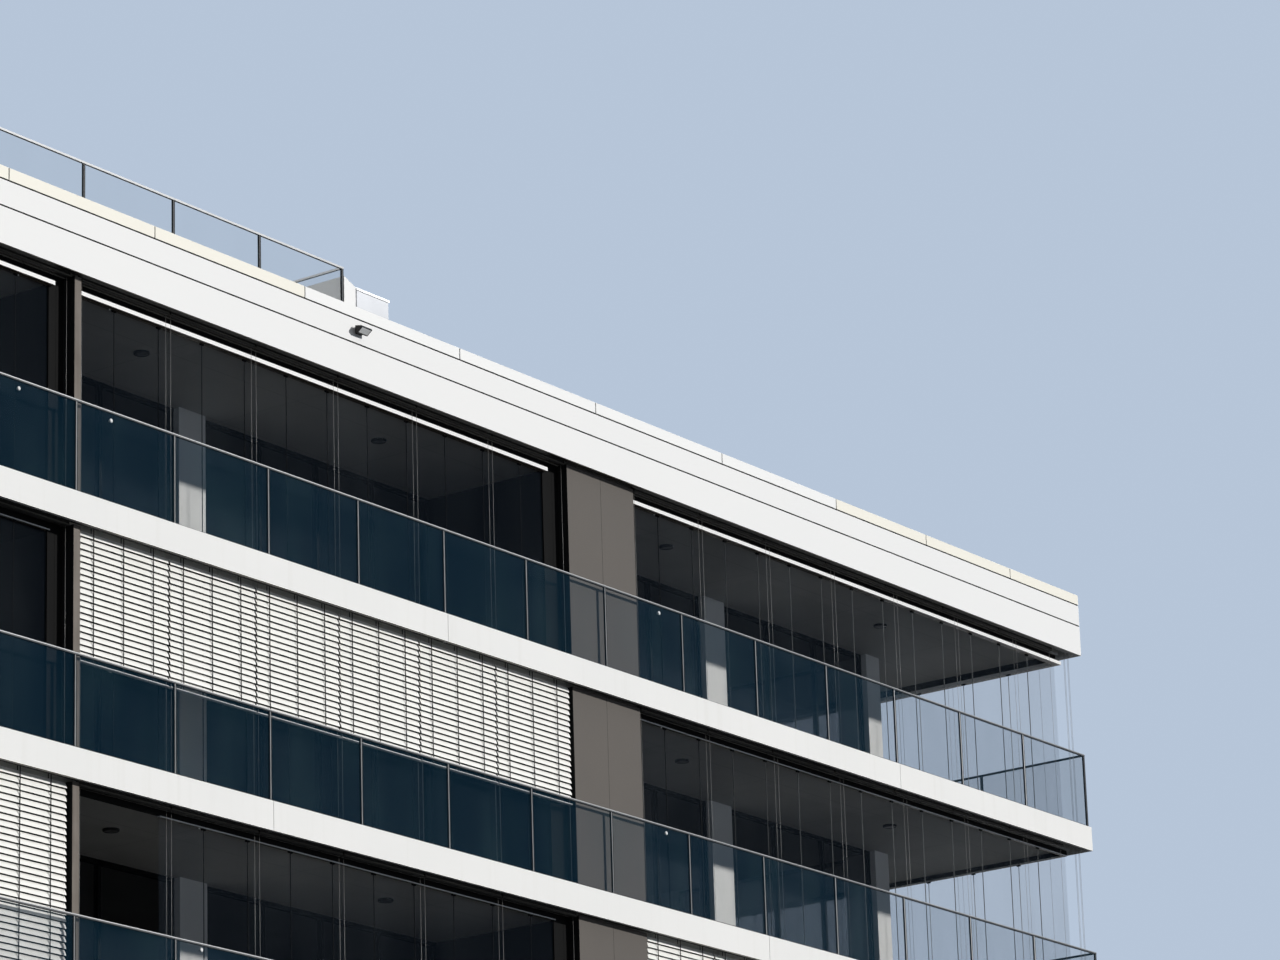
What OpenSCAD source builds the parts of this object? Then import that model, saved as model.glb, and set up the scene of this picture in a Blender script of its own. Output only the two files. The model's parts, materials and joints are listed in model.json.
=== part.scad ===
// Apartment block with glazed loggias on every side, white slab bands and a roof terrace.
// Millimetres. Origin at ground level in the middle of the footprint, +X along the front,
// +Y into the building, +Z up.

/* [Plan] */
// Width of a corner bay along the front
corner_bay_w = 11170; // [9000:10:14000]
// Width of the middle bay along the front
mid_bay_w = 9320; // [7500:10:12000]
// Width of the grey pier between two bays
pier_w = 1460; // [1000:10:2000]
// Thickness of the party wall end between two bays
fin_w = 110; // [80:5:200]
// Depth of the block from front to back
block_d = 12600; // [10500:50:16000]

/* [Storeys] */
// Number of storeys
storeys = 7; // [7:1:7]
// Height of the base slab above the ground
plinth_h = 150; // [100:10:300]
// Ground storey, floor to floor
ground_storey_h = 3400; // [2900:10:4200]
// Upper storeys, floor to floor
storey_h = 3000; // [2700:10:3600]

/* [Slab edges] */
// Height of the white band at each floor
band_h = 360; // [300:5:450]
// Thickness of the band's upright face
band_t = 90; // [60:5:120]
// Width of the slot for the blinds behind the band
slot_w = 160; // [130:5:220]
// Height of the slot for the blinds above the ceiling
slot_h = 220; // [180:5:260]
// Width of the open joint between two lengths of band
band_joint_w = 10; // [6:1:20]

/* [Roof] */
// Height of the lowest fascia board
fascia_low_h = 446; // [350:1:600]
// Height of the middle fascia board
fascia_mid_h = 307; // [250:1:450]
// Height of the coping's front face
coping_face_h = 147; // [100:1:250]
// Height of the shadow groove between two boards
groove_h = 20; // [8:1:30]
// Fall of the coping's top towards the roof
coping_fall = 8; // [4:1:15]
// Thickness of the coping at its inner edge
coping_t = 50; // [30:5:80]
// Width of the coping across the parapet
coping_w = 330; // [300:5:500]
// Length that a piece of coping is kept near to, past the measured ones at the front's right
coping_l = 2760; // [2000:10:4000]
// Width of the open joint between two pieces of coping
coping_joint_w = 16; // [6:1:30]
// Width of the drip groove under the band
drip_w = 15; // [8:1:30]
// Distance of the drip groove from the band's face
drip_setback = 25; // [15:1:40]
// Thickness of the roof slab
roof_slab_t = 360; // [250:10:450]
// Drop from the coping's underside to the roof deck
deck_drop = 10; // [0:1:60]

/* [Walls] */
// Setback of the grey pier's front face
pier_setback = 130; // [110:5:200]
// Thickness of the pier's front panels
pier_panel_t = 60; // [40:5:100]
// Width of the joint between the pier's two front panels
pier_joint_w = 4; // [2:1:15]
// Thickness of the pier's two side walls
pier_wall_t = 150; // [120:5:250]
// Setback of the party wall's end
fin_setback = 110; // [100:5:200]
// Setback of the room facade at the front and back, which is the loggia's depth
room_setback_y = 2350; // [1800:10:3000]
// Setback of the room facade at the two ends
room_setback_x = 1950; // [1500:10:2600]
// Thickness of the white room walls
room_wall_t = 250; // [200:10:350]
// Width of the white wall piece between two windows
room_wall_w = 500; // [300:10:900]
// Width of the white wall piece at each corner
room_corner_w = 350; // [300:10:700]
// Distance of a corner bay's window wall from the pier
corner_wall_to_pier = 4965; // [3500:5:6000]
// Distance of the middle bay's window wall from the pier
middle_wall_to_pier = 4830; // [3500:5:6000]
// Thickness of a room window's glass unit
room_glass_t = 44; // [24:2:60]

/* [Loggia glazing] */
// Setback of the sliding glass from the band's face
glazing_setback = 300; // [270:5:450]
// Thickness of a glass leaf
leaf_t = 12; // [8:1:16]
// Width of a glass leaf
leaf_w = 776; // [600:1:950]
// Gap between two leaves
leaf_gap = 4; // [2:1:10]
// Least width of the odd leaf at the end of a run
odd_leaf_min_w = 200; // [100:10:400]
// Width of the dark closing post in the middle bay beside the pier
pier_post_w = 330; // [200:10:400]
// Width of the other dark closing posts, beside a pier or party wall
closing_post_w = 250; // [200:10:300]
// Length that the white head rail runs on over a closing post
rail_over = 45; // [20:5:150]
// Height of the dark carrier on the ceiling
carrier_h = 70; // [40:1:80]
// Height of the dark carrier on the top storey
top_carrier_h = 96; // [60:1:120]
// Depth that the top storey's head rail stands out in front of its track
rail_proud = 59; // [20:1:70]
// Height of the white head rail on the top storey
top_rail_h = 50; // [40:1:90]
// Height of the white head rail on the other storeys
head_rail_h = 16; // [12:1:60]
// Width of the carrier, the floor track and the thin head rail
track_w = 44; // [36:2:80]
// Height of the floor track
track_h = 22; // [15:1:40]
// Bevel on the floor track's two upper edges
track_bevel = 8; // [3:1:12]
// Open butt joint between two lengths of profile at a corner
butt_gap = 2; // [1:0.5:6]
// Number of leaves parked at the open end of one bay
parked_leaves = 2; // [1:1:4]

/* [Balustrades] */
// Setback of the balustrade glass from the band's face
balustrade_setback = 35; // [20:5:60]
// Thickness of the balustrade glass
balustrade_t = 20; // [16:1:24]
// Height of the handrail's top above the floor
balustrade_h = 1110; // [1000:5:1250]
// Height of the handrail profile
handrail_h = 26; // [18:1:50]
// Width of the handrail profile
handrail_w = 34; // [30:2:60]
// Thickness of the handrail's top web
handrail_web = 5; // [3:1:10]
// Clearance of the glass in the handrail's groove, at each side and above
glass_slack = 0.5; // [0.2:0.1:0.9]
// Width of the upright joint profile between two panes
joint_w = 18; // [12:1:30]
// Width that a pane is kept near to
pane_w = 1690; // [1200:10:2200]
// Offset of the joint near a pier or party wall from its middle
joint_offset = 95; // [0:5:150]

/* [Blinds] */
// Depth of the blind's slats and rails
blind_t = 80; // [60:5:100]
// Width that a blind is kept near to
blind_w = 1590; // [1200:10:2000]
// Gap between two blinds
blind_gap = 30; // [20:5:140]
// Length left free of blinds beside a pier or party wall
blind_end_gap = 30; // [10:5:120]
// Length left free of blinds at each corner
blind_corner_gap = 603; // [400:1:900]
// Depth of a raised blind's bottom rail below the ceiling
pack_drop = 28; // [10:1:80]
// Height of the blind's rounded bottom rail
blind_rail_h = 25; // [15:1:30]
// Depth that the pack of slats stands back from the bottom rail on each side
pack_inset = 5; // [1:1:15]
// Height of a half lowered blind's bottom above the floor
half_blind_h = 1065; // [900:5:1400]
// Height of a fully lowered blind's bottom above the floor
full_blind_h = 60; // [40:5:200]

/* [Fittings] */
// Diameter of a ceiling lamp
lamp_d = 200; // [120:10:300]
// Height of a ceiling lamp
lamp_h = 28; // [20:1:60]
// Width of the ceiling lamp's rim round its recessed disc
lamp_rim = 16; // [8:1:30]
// Distance of a ceiling lamp from the pier or party wall
lamp_from_wall = 2400; // [1500:10:3200]
// Distance of a corner bay's outer lamp from the corner
lamp_from_corner = 3450; // [2600:10:4200]
// Distance of the terrace balustrade from the roof's edge
terrace_setback = 1100; // [800:10:2000]
// Distance of the terrace's right end from the pier
terrace_from_pier = 3350; // [2200:10:6000]
// Height of the terrace handrail above the coping
terrace_rail_h = 1090; // [900:10:1300]
// Width of the vent's white cheek
cheek_w = 230; // [150:5:400]
// Length of the vent's cheek and box from front to back
vent_l = 780; // [500:10:1500]
// Width of the vent's metal box
vent_box_w = 640; // [400:10:900]
// Distance of the floodlight from the pier
floodlight_from_pier = 4420; // [2000:10:6000]

/* [Hidden] */
$fn = 48;
slack = 10;
len_x = 2 * corner_bay_w + pier_w + mid_bay_w + fin_w;
half_x = len_x / 2;
half_y = block_d / 2;
slab_inset = band_t + slot_w;
top_storey = storeys - 1;
roof_h = fascia_low_h + fascia_mid_h + coping_face_h + 2 * groove_h;

// Stations along the front, measured from the right corner
pier_u0 = corner_bay_w;
pier_u1 = pier_u0 + pier_w;
fin_u0 = pier_u1 + mid_bay_w;
fin_u1 = fin_u0 + fin_w;

// Levels
function floor_z(k) = plinth_h + (k == 0 ? 0 : ground_storey_h + (k - 1) * storey_h);
function ceiling_z(k) = (k == top_storey ? floor_z(k) + storey_h : floor_z(k + 1)) - band_h;
soffit_z = ceiling_z(top_storey);
roof_z = soffit_z + roof_h;
deck_z = roof_z - coping_face_h - deck_drop;

// Each run of glazing: from, to, and whether whole leaves start at its low end
glazing_runs = [
    [glazing_setback, pier_u0 - closing_post_w, true],
    [pier_u1 + pier_post_w, fin_u0, false],
    [fin_u1 + closing_post_w, len_x - glazing_setback, false]
];
// Each closing post: from, to, and the station past which the head rail lies over it
closing_posts = [
    [pier_u0 - closing_post_w, pier_u0, pier_u0 - closing_post_w - slack],
    [pier_u1, pier_u1 + pier_post_w, pier_u1 + pier_post_w - rail_over],
    [fin_u1, fin_u1 + closing_post_w, fin_u1 + closing_post_w - rail_over]
];

// The storey and bay whose last leaves are pushed aside, which leaves the bay open there
open_storey = 4;
open_bay = 1;

// Each run of blinds along the front: from, to
blind_runs = [
    [blind_corner_gap, pier_u0 - blind_end_gap],
    [pier_u1 + blind_end_gap, fin_u0 - blind_end_gap],
    [fin_u1 + blind_end_gap, len_x - blind_corner_gap]
];

// Lowered blinds on the front: storey, bay, bottom above the floor
lowered = [
    [5, 1, half_blind_h],
    [4, 2, full_blind_h],
    [4, 0, half_blind_h],
    [2, 1, full_blind_h],
    [1, 0, half_blind_h],
    [0, 2, half_blind_h]
];

// Window wall pieces of the room facade: from, to along the front
window_wall_u = [
    pier_u0 - corner_wall_to_pier,
    pier_u1 + middle_wall_to_pier,
    len_x - pier_u0 + corner_wall_to_pier
];
room_wall_spans = [
    [room_setback_x, room_setback_x + room_corner_w],
    [window_wall_u[0] - room_wall_w / 2, window_wall_u[0] + room_wall_w / 2],
    [pier_u0, pier_u1],
    [window_wall_u[1] - room_wall_w / 2, window_wall_u[1] + room_wall_w / 2],
    [fin_u0 - room_wall_w / 2, fin_u1 + room_wall_w / 2],
    [window_wall_u[2] - room_wall_w / 2, window_wall_u[2] + room_wall_w / 2],
    [len_x - room_setback_x - room_corner_w, len_x - room_setback_x]
];
// The same at the two ends, measured from the front corner
end_wall_v0 = room_setback_y + room_wall_t + butt_gap;
end_wall_spans = [
    [end_wall_v0, end_wall_v0 + room_corner_w],
    [half_y - room_wall_w / 2, half_y + room_wall_w / 2],
    [block_d - end_wall_v0 - room_corner_w, block_d - end_wall_v0]
];

// Lengths of coping from the right corner, as measured; equal ones fill the rest
coping_lengths = [1915, 2265, 2310, 2770, 2870, 2880, 3050, 2740];

// The handrail's groove takes the top of the glass, and its sides lap over the glass
glass_drop = handrail_web + glass_slack;
rail_lap = (handrail_w - balustrade_t) / 2;

// Joints of the balustrade along the front
balustrade_in = balustrade_setback + balustrade_t;
pier_joint_u = (pier_u0 + pier_u1) / 2 + joint_offset;
fin_joint_u = (fin_u0 + fin_u1) / 2 + joint_offset;
lamp_u = [
    lamp_from_corner,
    pier_u0 - lamp_from_wall,
    pier_u1 + lamp_from_wall,
    fin_u0 - lamp_from_wall,
    fin_u1 + lamp_from_wall,
    len_x - lamp_from_corner
];
lamp_v = [3400, block_d - 3400];
// Lamps that sit off their common place: storey, lamp, shift to the left
lamp_shifts = [
    [4, 3, 530],
    [5, 1, -200]
];
function lamp_shift(k, i) =
    let (found = [for (r = lamp_shifts) if (r[0] == k && r[1] == i) r[2]])
    len(found) > 0 ? found[0] : 0;

function divide(from, to, width) =
    let (n = max(1, round((to - from) / width)))
    [for (i = [0 : n]) from + i * (to - from) / n];
function runs_of(stops) = [for (i = [0 : len(stops) - 2]) [stops[i], stops[i + 1]]];
function sum_to(list, n) = n == 0 ? 0 : list[n - 1] + sum_to(list, n - 1);

// Equal panes between two edges with a joint profile's width between them, at whole millimetres
function panes(from, to) =
    let (n = max(1, round((to - from) / pane_w)), step = (to - from + joint_w) / n)
    [for (i = [0 : n - 1])
        [from + round(i * step), i == n - 1 ? to : from + round((i + 1) * step) - joint_w]];
function gaps(spans) = [for (i = [0 : len(spans) - 2]) [spans[i][1], spans[i + 1][0]]];
front_panes = concat(
    panes(balustrade_in, pier_joint_u - joint_w / 2),
    panes(pier_joint_u + joint_w / 2, fin_joint_u - joint_w / 2),
    panes(fin_joint_u + joint_w / 2, len_x - balustrade_in)
);
end_pane_v0 = balustrade_in + rail_lap + glass_slack;
end_panes = panes(end_pane_v0, block_d - end_pane_v0);
front_gaps = gaps(front_panes);
front_posts = concat(
    [[balustrade_setback, balustrade_in]],
    front_gaps,
    [[len_x - balustrade_in, len_x - balustrade_setback]]
);

// Joints in a band fall on every sixth balustrade joint, on even and odd floors in turn
first_joint = [2, 4];
joint_step = 6;
function band_joints(k) =
    [for (i = [first_joint[k % 2] : joint_step : len(front_gaps) - 1]) front_gaps[i][0]];

// Stations of the coping's joints along the front and back, with both corners
coping_ends = [
    for (n = [0 : len(coping_lengths)])
        if (sum_to(coping_lengths, n) < len_x - coping_l / 2) sum_to(coping_lengths, n)
];
last_measured = coping_ends[len(coping_ends) - 1];
coping_stops = concat(
    [for (i = [0 : 1 : len(coping_ends) - 2]) coping_ends[i]],
    divide(last_measured, len_x, coping_l)
);

// The roof terrace's outline: stations along the front, setback and levels
terrace_end = pier_u1 + terrace_from_pier;
terrace_u1 = len_x - terrace_setback;
terrace_in = terrace_setback + balustrade_t;
terrace_top = roof_z + terrace_rail_h;
terrace_glass_z = terrace_top - glass_drop;
terrace_panes = panes(terrace_end + balustrade_t, terrace_u1 - balustrade_t);
terrace_end_v0 = terrace_in + rail_lap + glass_slack;
terrace_end_panes = panes(terrace_end_v0, block_d - terrace_end_v0);
terrace_posts = concat(
    [[terrace_end, terrace_end + balustrade_t]],
    gaps(terrace_panes),
    [[terrace_u1 - balustrade_t, terrace_u1]]
);

// Leaves of one run: whole leaves from one end and what is left over at the other
function leaves(run) =
    let (n = floor((run[1] - run[0] - odd_leaf_min_w) / leaf_w))
    run[2]
        ? [each [for (i = [0 : n - 1]) [run[0] + i * leaf_w, run[0] + (i + 1) * leaf_w]],
            [run[0] + n * leaf_w, run[1]]]
        : [each [for (i = [0 : n - 1]) [run[1] - (i + 1) * leaf_w, run[1] - i * leaf_w]],
            [run[0], run[1] - n * leaf_w]];

// The head of the glazing: a carrier under the ceiling and a head rail under that
function rail_h(k) = k == top_storey ? top_rail_h : head_rail_h;
function rail_top(k) = ceiling_z(k) - (k == top_storey ? top_carrier_h : carrier_h);
function leaf_top(k) = rail_top(k) - rail_h(k);

// A box on the front, from station u0 to u1, from setback s0 to s1
module front_bar(u0, u1, s0, s1, z0, z1) {
    translate([half_x - u1, -half_y + s0, z0])
        cube([u1 - u0, s1 - s0, z1 - z0]);
}

// A box on the right end, from v0 to v1 behind the front corner, from setback s0 to s1
module end_bar(v0, v1, s0, s1, z0, z1) {
    translate([half_x - s1, -half_y + v0, z0])
        cube([s1 - s0, v1 - v0, z1 - z0]);
}

module front_and_back() {
    children();
    mirror([0, 1, 0])
        children();
}

module both_ends() {
    children();
    mirror([1, 0, 0])
        children();
}

// A block over the whole footprint, set back on all four sides
module footprint_block(inset, z0, z1) {
    translate([-half_x + inset, -half_y + inset, z0])
        cube([len_x - 2 * inset, block_d - 2 * inset, z1 - z0]);
}

// A ring round the footprint between two setbacks
module ring(inset0, inset1, z0, z1) {
    difference() {
        footprint_block(inset0, z0, z1);
        footprint_block(inset1, z0 - slack, z1 + slack);
    }
}

module base_slab() {
    color("dimgray")
        footprint_block(0, 0, plinth_h);
}

// Floor slab with a rebate under its edge, which is the slot for the blinds
module floor_slab(k) {
    color("gray") {
        footprint_block(slab_inset, floor_z(k) - band_h, floor_z(k));
        footprint_block(band_t, floor_z(k) - band_h + slot_h, floor_z(k));
    }
}

// Four boards round the footprint, with open mitres at the corners
module mitred_boards(z0, h) {
    m = butt_gap / 2;
    front_and_back()
        translate([half_x, -half_y, z0])
            linear_extrude(h)
                polygon([[-m, 0], [-band_t - m, band_t], [band_t + m - len_x, band_t], [m - len_x, 0]]);
    both_ends()
        translate([half_x, -half_y, z0])
            linear_extrude(h)
                polygon([[0, m], [-band_t, band_t + m], [-band_t, block_d - band_t - m], [0, block_d - m]]);
}

// White face panels at a slab's edge, cut into lengths, with a drip groove in the underside
module edge_band(k) {
    z0 = floor_z(k) - band_h;
    z1 = floor_z(k);
    color("white")
        difference() {
            mitred_boards(z0, band_h);
            ring(drip_setback, drip_setback + drip_w, z0 - slack, z0 + drip_w / 2);
            front_and_back()
                for (u = band_joints(k))
                    front_bar(u, u + band_joint_w, -slack, slab_inset, z0 - slack, z1 + slack);
            both_ends()
                end_bar(half_y, half_y + band_joint_w, -slack, slab_inset, z0 - slack, z1 + slack);
        }
}

module pier_panels() {
    color([0.40, 0.37, 0.35])
        front_and_back()
            for (k = [0 : top_storey], side = [0, 1])
                front_bar(
                    pier_u0 + side * (pier_w + pier_joint_w) / 2,
                    pier_u0 + (pier_w - pier_joint_w) / 2 + side * (pier_w + pier_joint_w) / 2,
                    pier_setback, pier_setback + pier_panel_t, floor_z(k), ceiling_z(k)
                );
}

// The pier's two side walls and the party wall, from their front ends back to the room facade
module party_walls() {
    color([0.46, 0.43, 0.40])
        front_and_back()
            for (k = [0 : top_storey]) {
                for (u = [pier_u0, pier_u1 - pier_wall_t])
                    front_bar(u, u + pier_wall_t, pier_setback + pier_panel_t, room_setback_y,
                        floor_z(k), ceiling_z(k));
                front_bar(fin_u0, fin_u1, fin_setback, room_setback_y, floor_z(k), ceiling_z(k));
            }
}

module room_walls(k) {
    z0 = floor_z(k);
    z1 = ceiling_z(k);
    color("whitesmoke") {
        front_and_back()
            for (s = room_wall_spans)
                front_bar(s[0], s[1], room_setback_y, room_setback_y + room_wall_t, z0, z1);
        both_ends()
            for (s = end_wall_spans)
                end_bar(s[0], s[1], room_setback_x, room_setback_x + room_wall_t, z0, z1);
    }
}

// One glass unit fills each window from wall to wall and from floor to ceiling
module room_windows() {
    y0 = room_setback_y + (room_wall_t - room_glass_t) / 2;
    x0 = room_setback_x + (room_wall_t - room_glass_t) / 2;
    color([0.15, 0.18, 0.2, 0.6])
        for (k = [0 : top_storey]) {
            front_and_back()
                for (i = [0 : len(room_wall_spans) - 2])
                    front_bar(room_wall_spans[i][1], room_wall_spans[i + 1][0],
                        y0, y0 + room_glass_t, floor_z(k), ceiling_z(k));
            both_ends()
                for (i = [0 : len(end_wall_spans) - 2])
                    end_bar(end_wall_spans[i][1], end_wall_spans[i + 1][0],
                        x0, x0 + room_glass_t, floor_z(k), ceiling_z(k));
        }
}

module leaf(span, k) {
    front_bar(span[0] + leaf_gap / 2, span[1] - leaf_gap / 2, glazing_setback,
        glazing_setback + leaf_t, floor_z(k) + track_h, leaf_top(k));
}

// Leaves turned square to the front and parked beside the party wall
module parked_stack(k) {
    for (i = [0 : parked_leaves - 1])
        front_bar(fin_u0 - leaf_gap - i * 2 * leaf_t - leaf_t, fin_u0 - leaf_gap - i * 2 * leaf_t,
            glazing_setback, glazing_setback + leaf_w - leaf_gap, floor_z(k) + track_h, leaf_top(k));
}

// Frameless glass leaves round all four sides of one storey
module loggia_leaves(k) {
    color([0.35, 0.45, 0.48, 0.5]) {
        for (b = [0 : 2]) {
            spans = leaves(glazing_runs[b]);
            skip = k == open_storey && b == open_bay ? parked_leaves : 0;
            for (i = [skip : len(spans) - 1])
                leaf(spans[i], k);
            mirror([0, 1, 0])
                for (s = spans)
                    leaf(s, k);
        }
        if (k == open_storey)
            parked_stack(k);
        both_ends()
            for (s = runs_of(divide(glazing_setback + leaf_t, block_d - glazing_setback - leaf_t, leaf_w)))
                end_bar(s[0] + leaf_gap / 2, s[1] - leaf_gap / 2, glazing_setback,
                    glazing_setback + leaf_t, floor_z(k) + track_h, leaf_top(k));
    }
}

// The child's outline, drawn as setback and height, run along the front or the right end
module front_run(u0, u1, s, z) {
    translate([half_x - u1, -half_y + s, z])
        rotate([90, 0, 90])
            linear_extrude(u1 - u0)
                children();
}

module end_run(v0, v1, s, z) {
    translate([half_x - s, -half_y + v1, z])
        rotate([90, 0, 0])
            linear_extrude(v1 - v0)
                mirror([1, 0])
                    children();
}

// Straight lengths of the child's outline that follow the glass round one storey, between
// piers and party walls; runs lists the lengths along the front
track_s0 = glazing_setback + (leaf_t - track_w) / 2;
track_s1 = track_s0 + track_w;
module track_loop(runs, s, z) {
    front_and_back()
        for (run = runs)
            front_run(run[0], run[1], s, z)
                children();
    both_ends()
        end_run(track_s1 + butt_gap, block_d - track_s1 - butt_gap, s, z)
            children();
}

module floor_track_profile() {
    polygon([
        [0, 0],
        [0, track_h - track_bevel],
        [track_bevel, track_h],
        [track_w - track_bevel, track_h],
        [track_w, track_h - track_bevel],
        [track_w, 0]
    ]);
}

// The carrier under the ceiling and the track on the floor
module glazing_tracks() {
    runs = [[track_s0, pier_u0], [pier_u1, fin_u0], [fin_u1, len_x - track_s0]];
    color([0.12, 0.12, 0.13])
        for (k = [0 : top_storey]) {
            track_loop(runs, track_s0, rail_top(k))
                square([track_w, ceiling_z(k) - rail_top(k)]);
            track_loop(runs, track_s0, floor_z(k))
                floor_track_profile();
        }
}

// On the top storey the white head rail is deeper and stands out in front of the glass. The rail
// moves with the leaves, so it is missing over the open bay but for a piece over the parked leaves
parked_rail_l = leaf_gap + 2 * parked_leaves * leaf_t;
module head_rails() {
    color("white")
        for (k = [0 : top_storey]) {
            proud = k == top_storey ? rail_proud : 0;
            s = track_s0 - proud;
            runs = [[s, pier_u0], [closing_posts[1][2], fin_u0], [closing_posts[2][2], len_x - s]];
            difference() {
                track_loop(runs, s, leaf_top(k))
                    square([track_w + proud, rail_h(k)]);
                if (k == open_storey)
                    front_bar(fin_u0 - parked_leaves * leaf_w, fin_u0 - parked_rail_l,
                        s - slack, track_s1 + slack, leaf_top(k) - slack, rail_top(k) + slack);
            }
        }
}

// Dark posts that close the glazing against a pier or party wall, notched under the head rail
module closing_posts() {
    color([0.05, 0.05, 0.05])
        front_and_back()
            for (k = [0 : top_storey], p = closing_posts)
                difference() {
                    front_bar(p[0], p[1], track_s0, track_s1, floor_z(k) + track_h, rail_top(k));
                    front_bar(p[2], p[1] + slack, track_s0 - slack, track_s1 + slack,
                        leaf_top(k), ceiling_z(k));
                }
}

module balustrade_glass() {
    s0 = balustrade_setback;
    color([0.2, 0.42, 0.45, 0.5]) {
        for (k = [1 : top_storey]) {
            z0 = floor_z(k);
            z1 = z0 + balustrade_h - glass_drop;
            front_and_back()
                for (p = front_panes)
                    front_bar(p[0], p[1], s0, balustrade_in, z0, z1);
            both_ends()
                for (p = end_panes)
                    end_bar(p[0], p[1], s0, balustrade_in, z0, z1);
        }
    }
}

// Upright profiles between the panes and at the corners of the balustrades and the terrace
module balustrade_joints() {
    s0 = balustrade_setback;
    color("lightgray") {
        for (k = [1 : top_storey]) {
            z0 = floor_z(k);
            z1 = z0 + balustrade_h - glass_drop;
            front_and_back()
                for (p = front_posts)
                    front_bar(p[0], p[1], s0, balustrade_in, z0, z1);
            both_ends()
                for (p = gaps(end_panes))
                    end_bar(p[0], p[1], s0, balustrade_in, z0, z1);
        }
        front_and_back()
            for (p = terrace_posts)
                front_bar(p[0], p[1], terrace_setback, terrace_in, deck_z, terrace_glass_z);
        for (s = [terrace_end, terrace_u1 - balustrade_t], p = gaps(terrace_end_panes))
            end_bar(p[0], p[1], s, s + balustrade_t, deck_z, terrace_glass_z);
    }
}

// A channel with its groove below, which takes the glass with a little clearance
module handrail_profile() {
    groove_w = balustrade_t + 2 * glass_slack;
    difference() {
        square([handrail_w, handrail_h]);
        translate([(handrail_w - groove_w) / 2, -slack])
            square([groove_w, handrail_h - handrail_web + slack]);
    }
}

// Straight handrails that cap the glass, butted at the corners
module handrails() {
    s0 = balustrade_setback - rail_lap;
    s1 = balustrade_in + rail_lap + butt_gap;
    color("lightgray") {
        for (k = [1 : top_storey]) {
            z = floor_z(k) + balustrade_h - handrail_h;
            front_and_back()
                front_run(s0, len_x - s0, s0, z)
                    handrail_profile();
            both_ends()
                end_run(s1, block_d - s1, s0, z)
                    handrail_profile();
        }
        front_and_back()
            front_run(terrace_end - rail_lap, terrace_u1 + rail_lap, terrace_setback - rail_lap,
                terrace_top - handrail_h)
                handrail_profile();
        for (s = [terrace_end, terrace_u1 - balustrade_t])
            end_run(terrace_in + rail_lap + butt_gap, block_d - terrace_in - rail_lap - butt_gap,
                s - rail_lap, terrace_top - handrail_h)
                handrail_profile();
    }
}

function is_lowered(k, b) = len([for (r = lowered) if (r[0] == k && r[1] == b) r]) > 0;
blind_s0 = band_t + (slot_w - blind_t) / 2;

// One blind's outline in the front plane, from z0 up to the top of its slot
module blind(span, z0, k) {
    front_bar(span[0] + blind_gap / 2, span[1] - blind_gap / 2, blind_s0, blind_s0 + blind_t,
        z0, ceiling_z(k) + slot_h);
}

function front_blinds(b) = runs_of(divide(blind_runs[b][0], blind_runs[b][1], blind_w));
end_blinds = runs_of(divide(blind_corner_gap, block_d - blind_corner_gap, blind_w));

// Section of a raised blind: a bottom rail with bevelled nosings under the pack of slats
module raised_profile() {
    bevel = blind_rail_h / 3;
    nose = [[bevel, 0], [0, bevel], [0, blind_rail_h - bevel], [pack_inset, blind_rail_h],
        [pack_inset, pack_drop + slot_h]];
    far_nose = [for (i = [len(nose) - 1 : -1 : 0]) [blind_t - nose[i][0], nose[i][1]]];
    polygon(concat(nose, far_nose));
}

// Raised blinds hang in the slot with their bottom rails just below the ceiling
module raised_blinds() {
    color([0.55, 0.5, 0.42])
        for (k = [0 : top_storey]) {
            z = ceiling_z(k) - pack_drop;
            for (b = [0 : 2], s = front_blinds(b)) {
                if (!is_lowered(k, b))
                    front_run(s[0] + blind_gap / 2, s[1] - blind_gap / 2, blind_s0, z)
                        raised_profile();
                mirror([0, 1, 0])
                    front_run(s[0] + blind_gap / 2, s[1] - blind_gap / 2, blind_s0, z)
                        raised_profile();
            }
            both_ends()
                for (s = end_blinds)
                    end_run(s[0] + blind_gap / 2, s[1] - blind_gap / 2, blind_s0, z)
                        raised_profile();
        }
}

module lowered_blinds() {
    color([0.85, 0.85, 0.82])
        for (r = lowered, s = front_blinds(r[1]))
            blind(s, floor_z(r[0]) + r[2], r[0]);
}

// A round lamp with a bevelled rim and a recessed disc
module lamp(z) {
    r = lamp_d / 2;
    bevel = lamp_rim / 2;
    recess = lamp_h / 4;
    translate([0, 0, z - lamp_h])
        rotate_extrude()
            polygon([
                [0, recess],
                [r - lamp_rim, recess],
                [r - lamp_rim, 0],
                [r - bevel, 0],
                [r, bevel],
                [r, lamp_h],
                [0, lamp_h]
            ]);
}

module ceiling_lamps() {
    mid_y = (glazing_setback + room_setback_y) / 2;
    mid_x = (glazing_setback + room_setback_x) / 2;
    color([0.1, 0.1, 0.1])
        for (k = [0 : top_storey]) {
            front_and_back()
                for (i = [0 : len(lamp_u) - 1])
                    translate([half_x - lamp_u[i] - lamp_shift(k, i), -half_y + mid_y, 0])
                        lamp(ceiling_z(k));
            both_ends()
                for (v = lamp_v)
                    translate([half_x - mid_x, -half_y + v, 0])
                        lamp(ceiling_z(k));
        }
}

module roof_slab() {
    color("gray")
        footprint_block(slab_inset, soffit_z, soffit_z + roof_slab_t);
}

// Straight parapet walls over the blind slot, which carry the boards and the coping
module roof_parapet() {
    z0 = soffit_z + slot_h;
    z1 = roof_z - coping_face_h;
    color("gray") {
        front_and_back()
            front_bar(band_t, len_x - band_t, band_t, slab_inset, z0, z1);
        both_ends()
            end_bar(slab_inset + butt_gap, block_d - slab_inset - butt_gap, band_t, slab_inset, z0, z1);
    }
}

module fascia_boards() {
    color("white") {
        mitred_boards(soffit_z, fascia_low_h);
        mitred_boards(soffit_z + fascia_low_h + groove_h, fascia_mid_h);
    }
}

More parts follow.
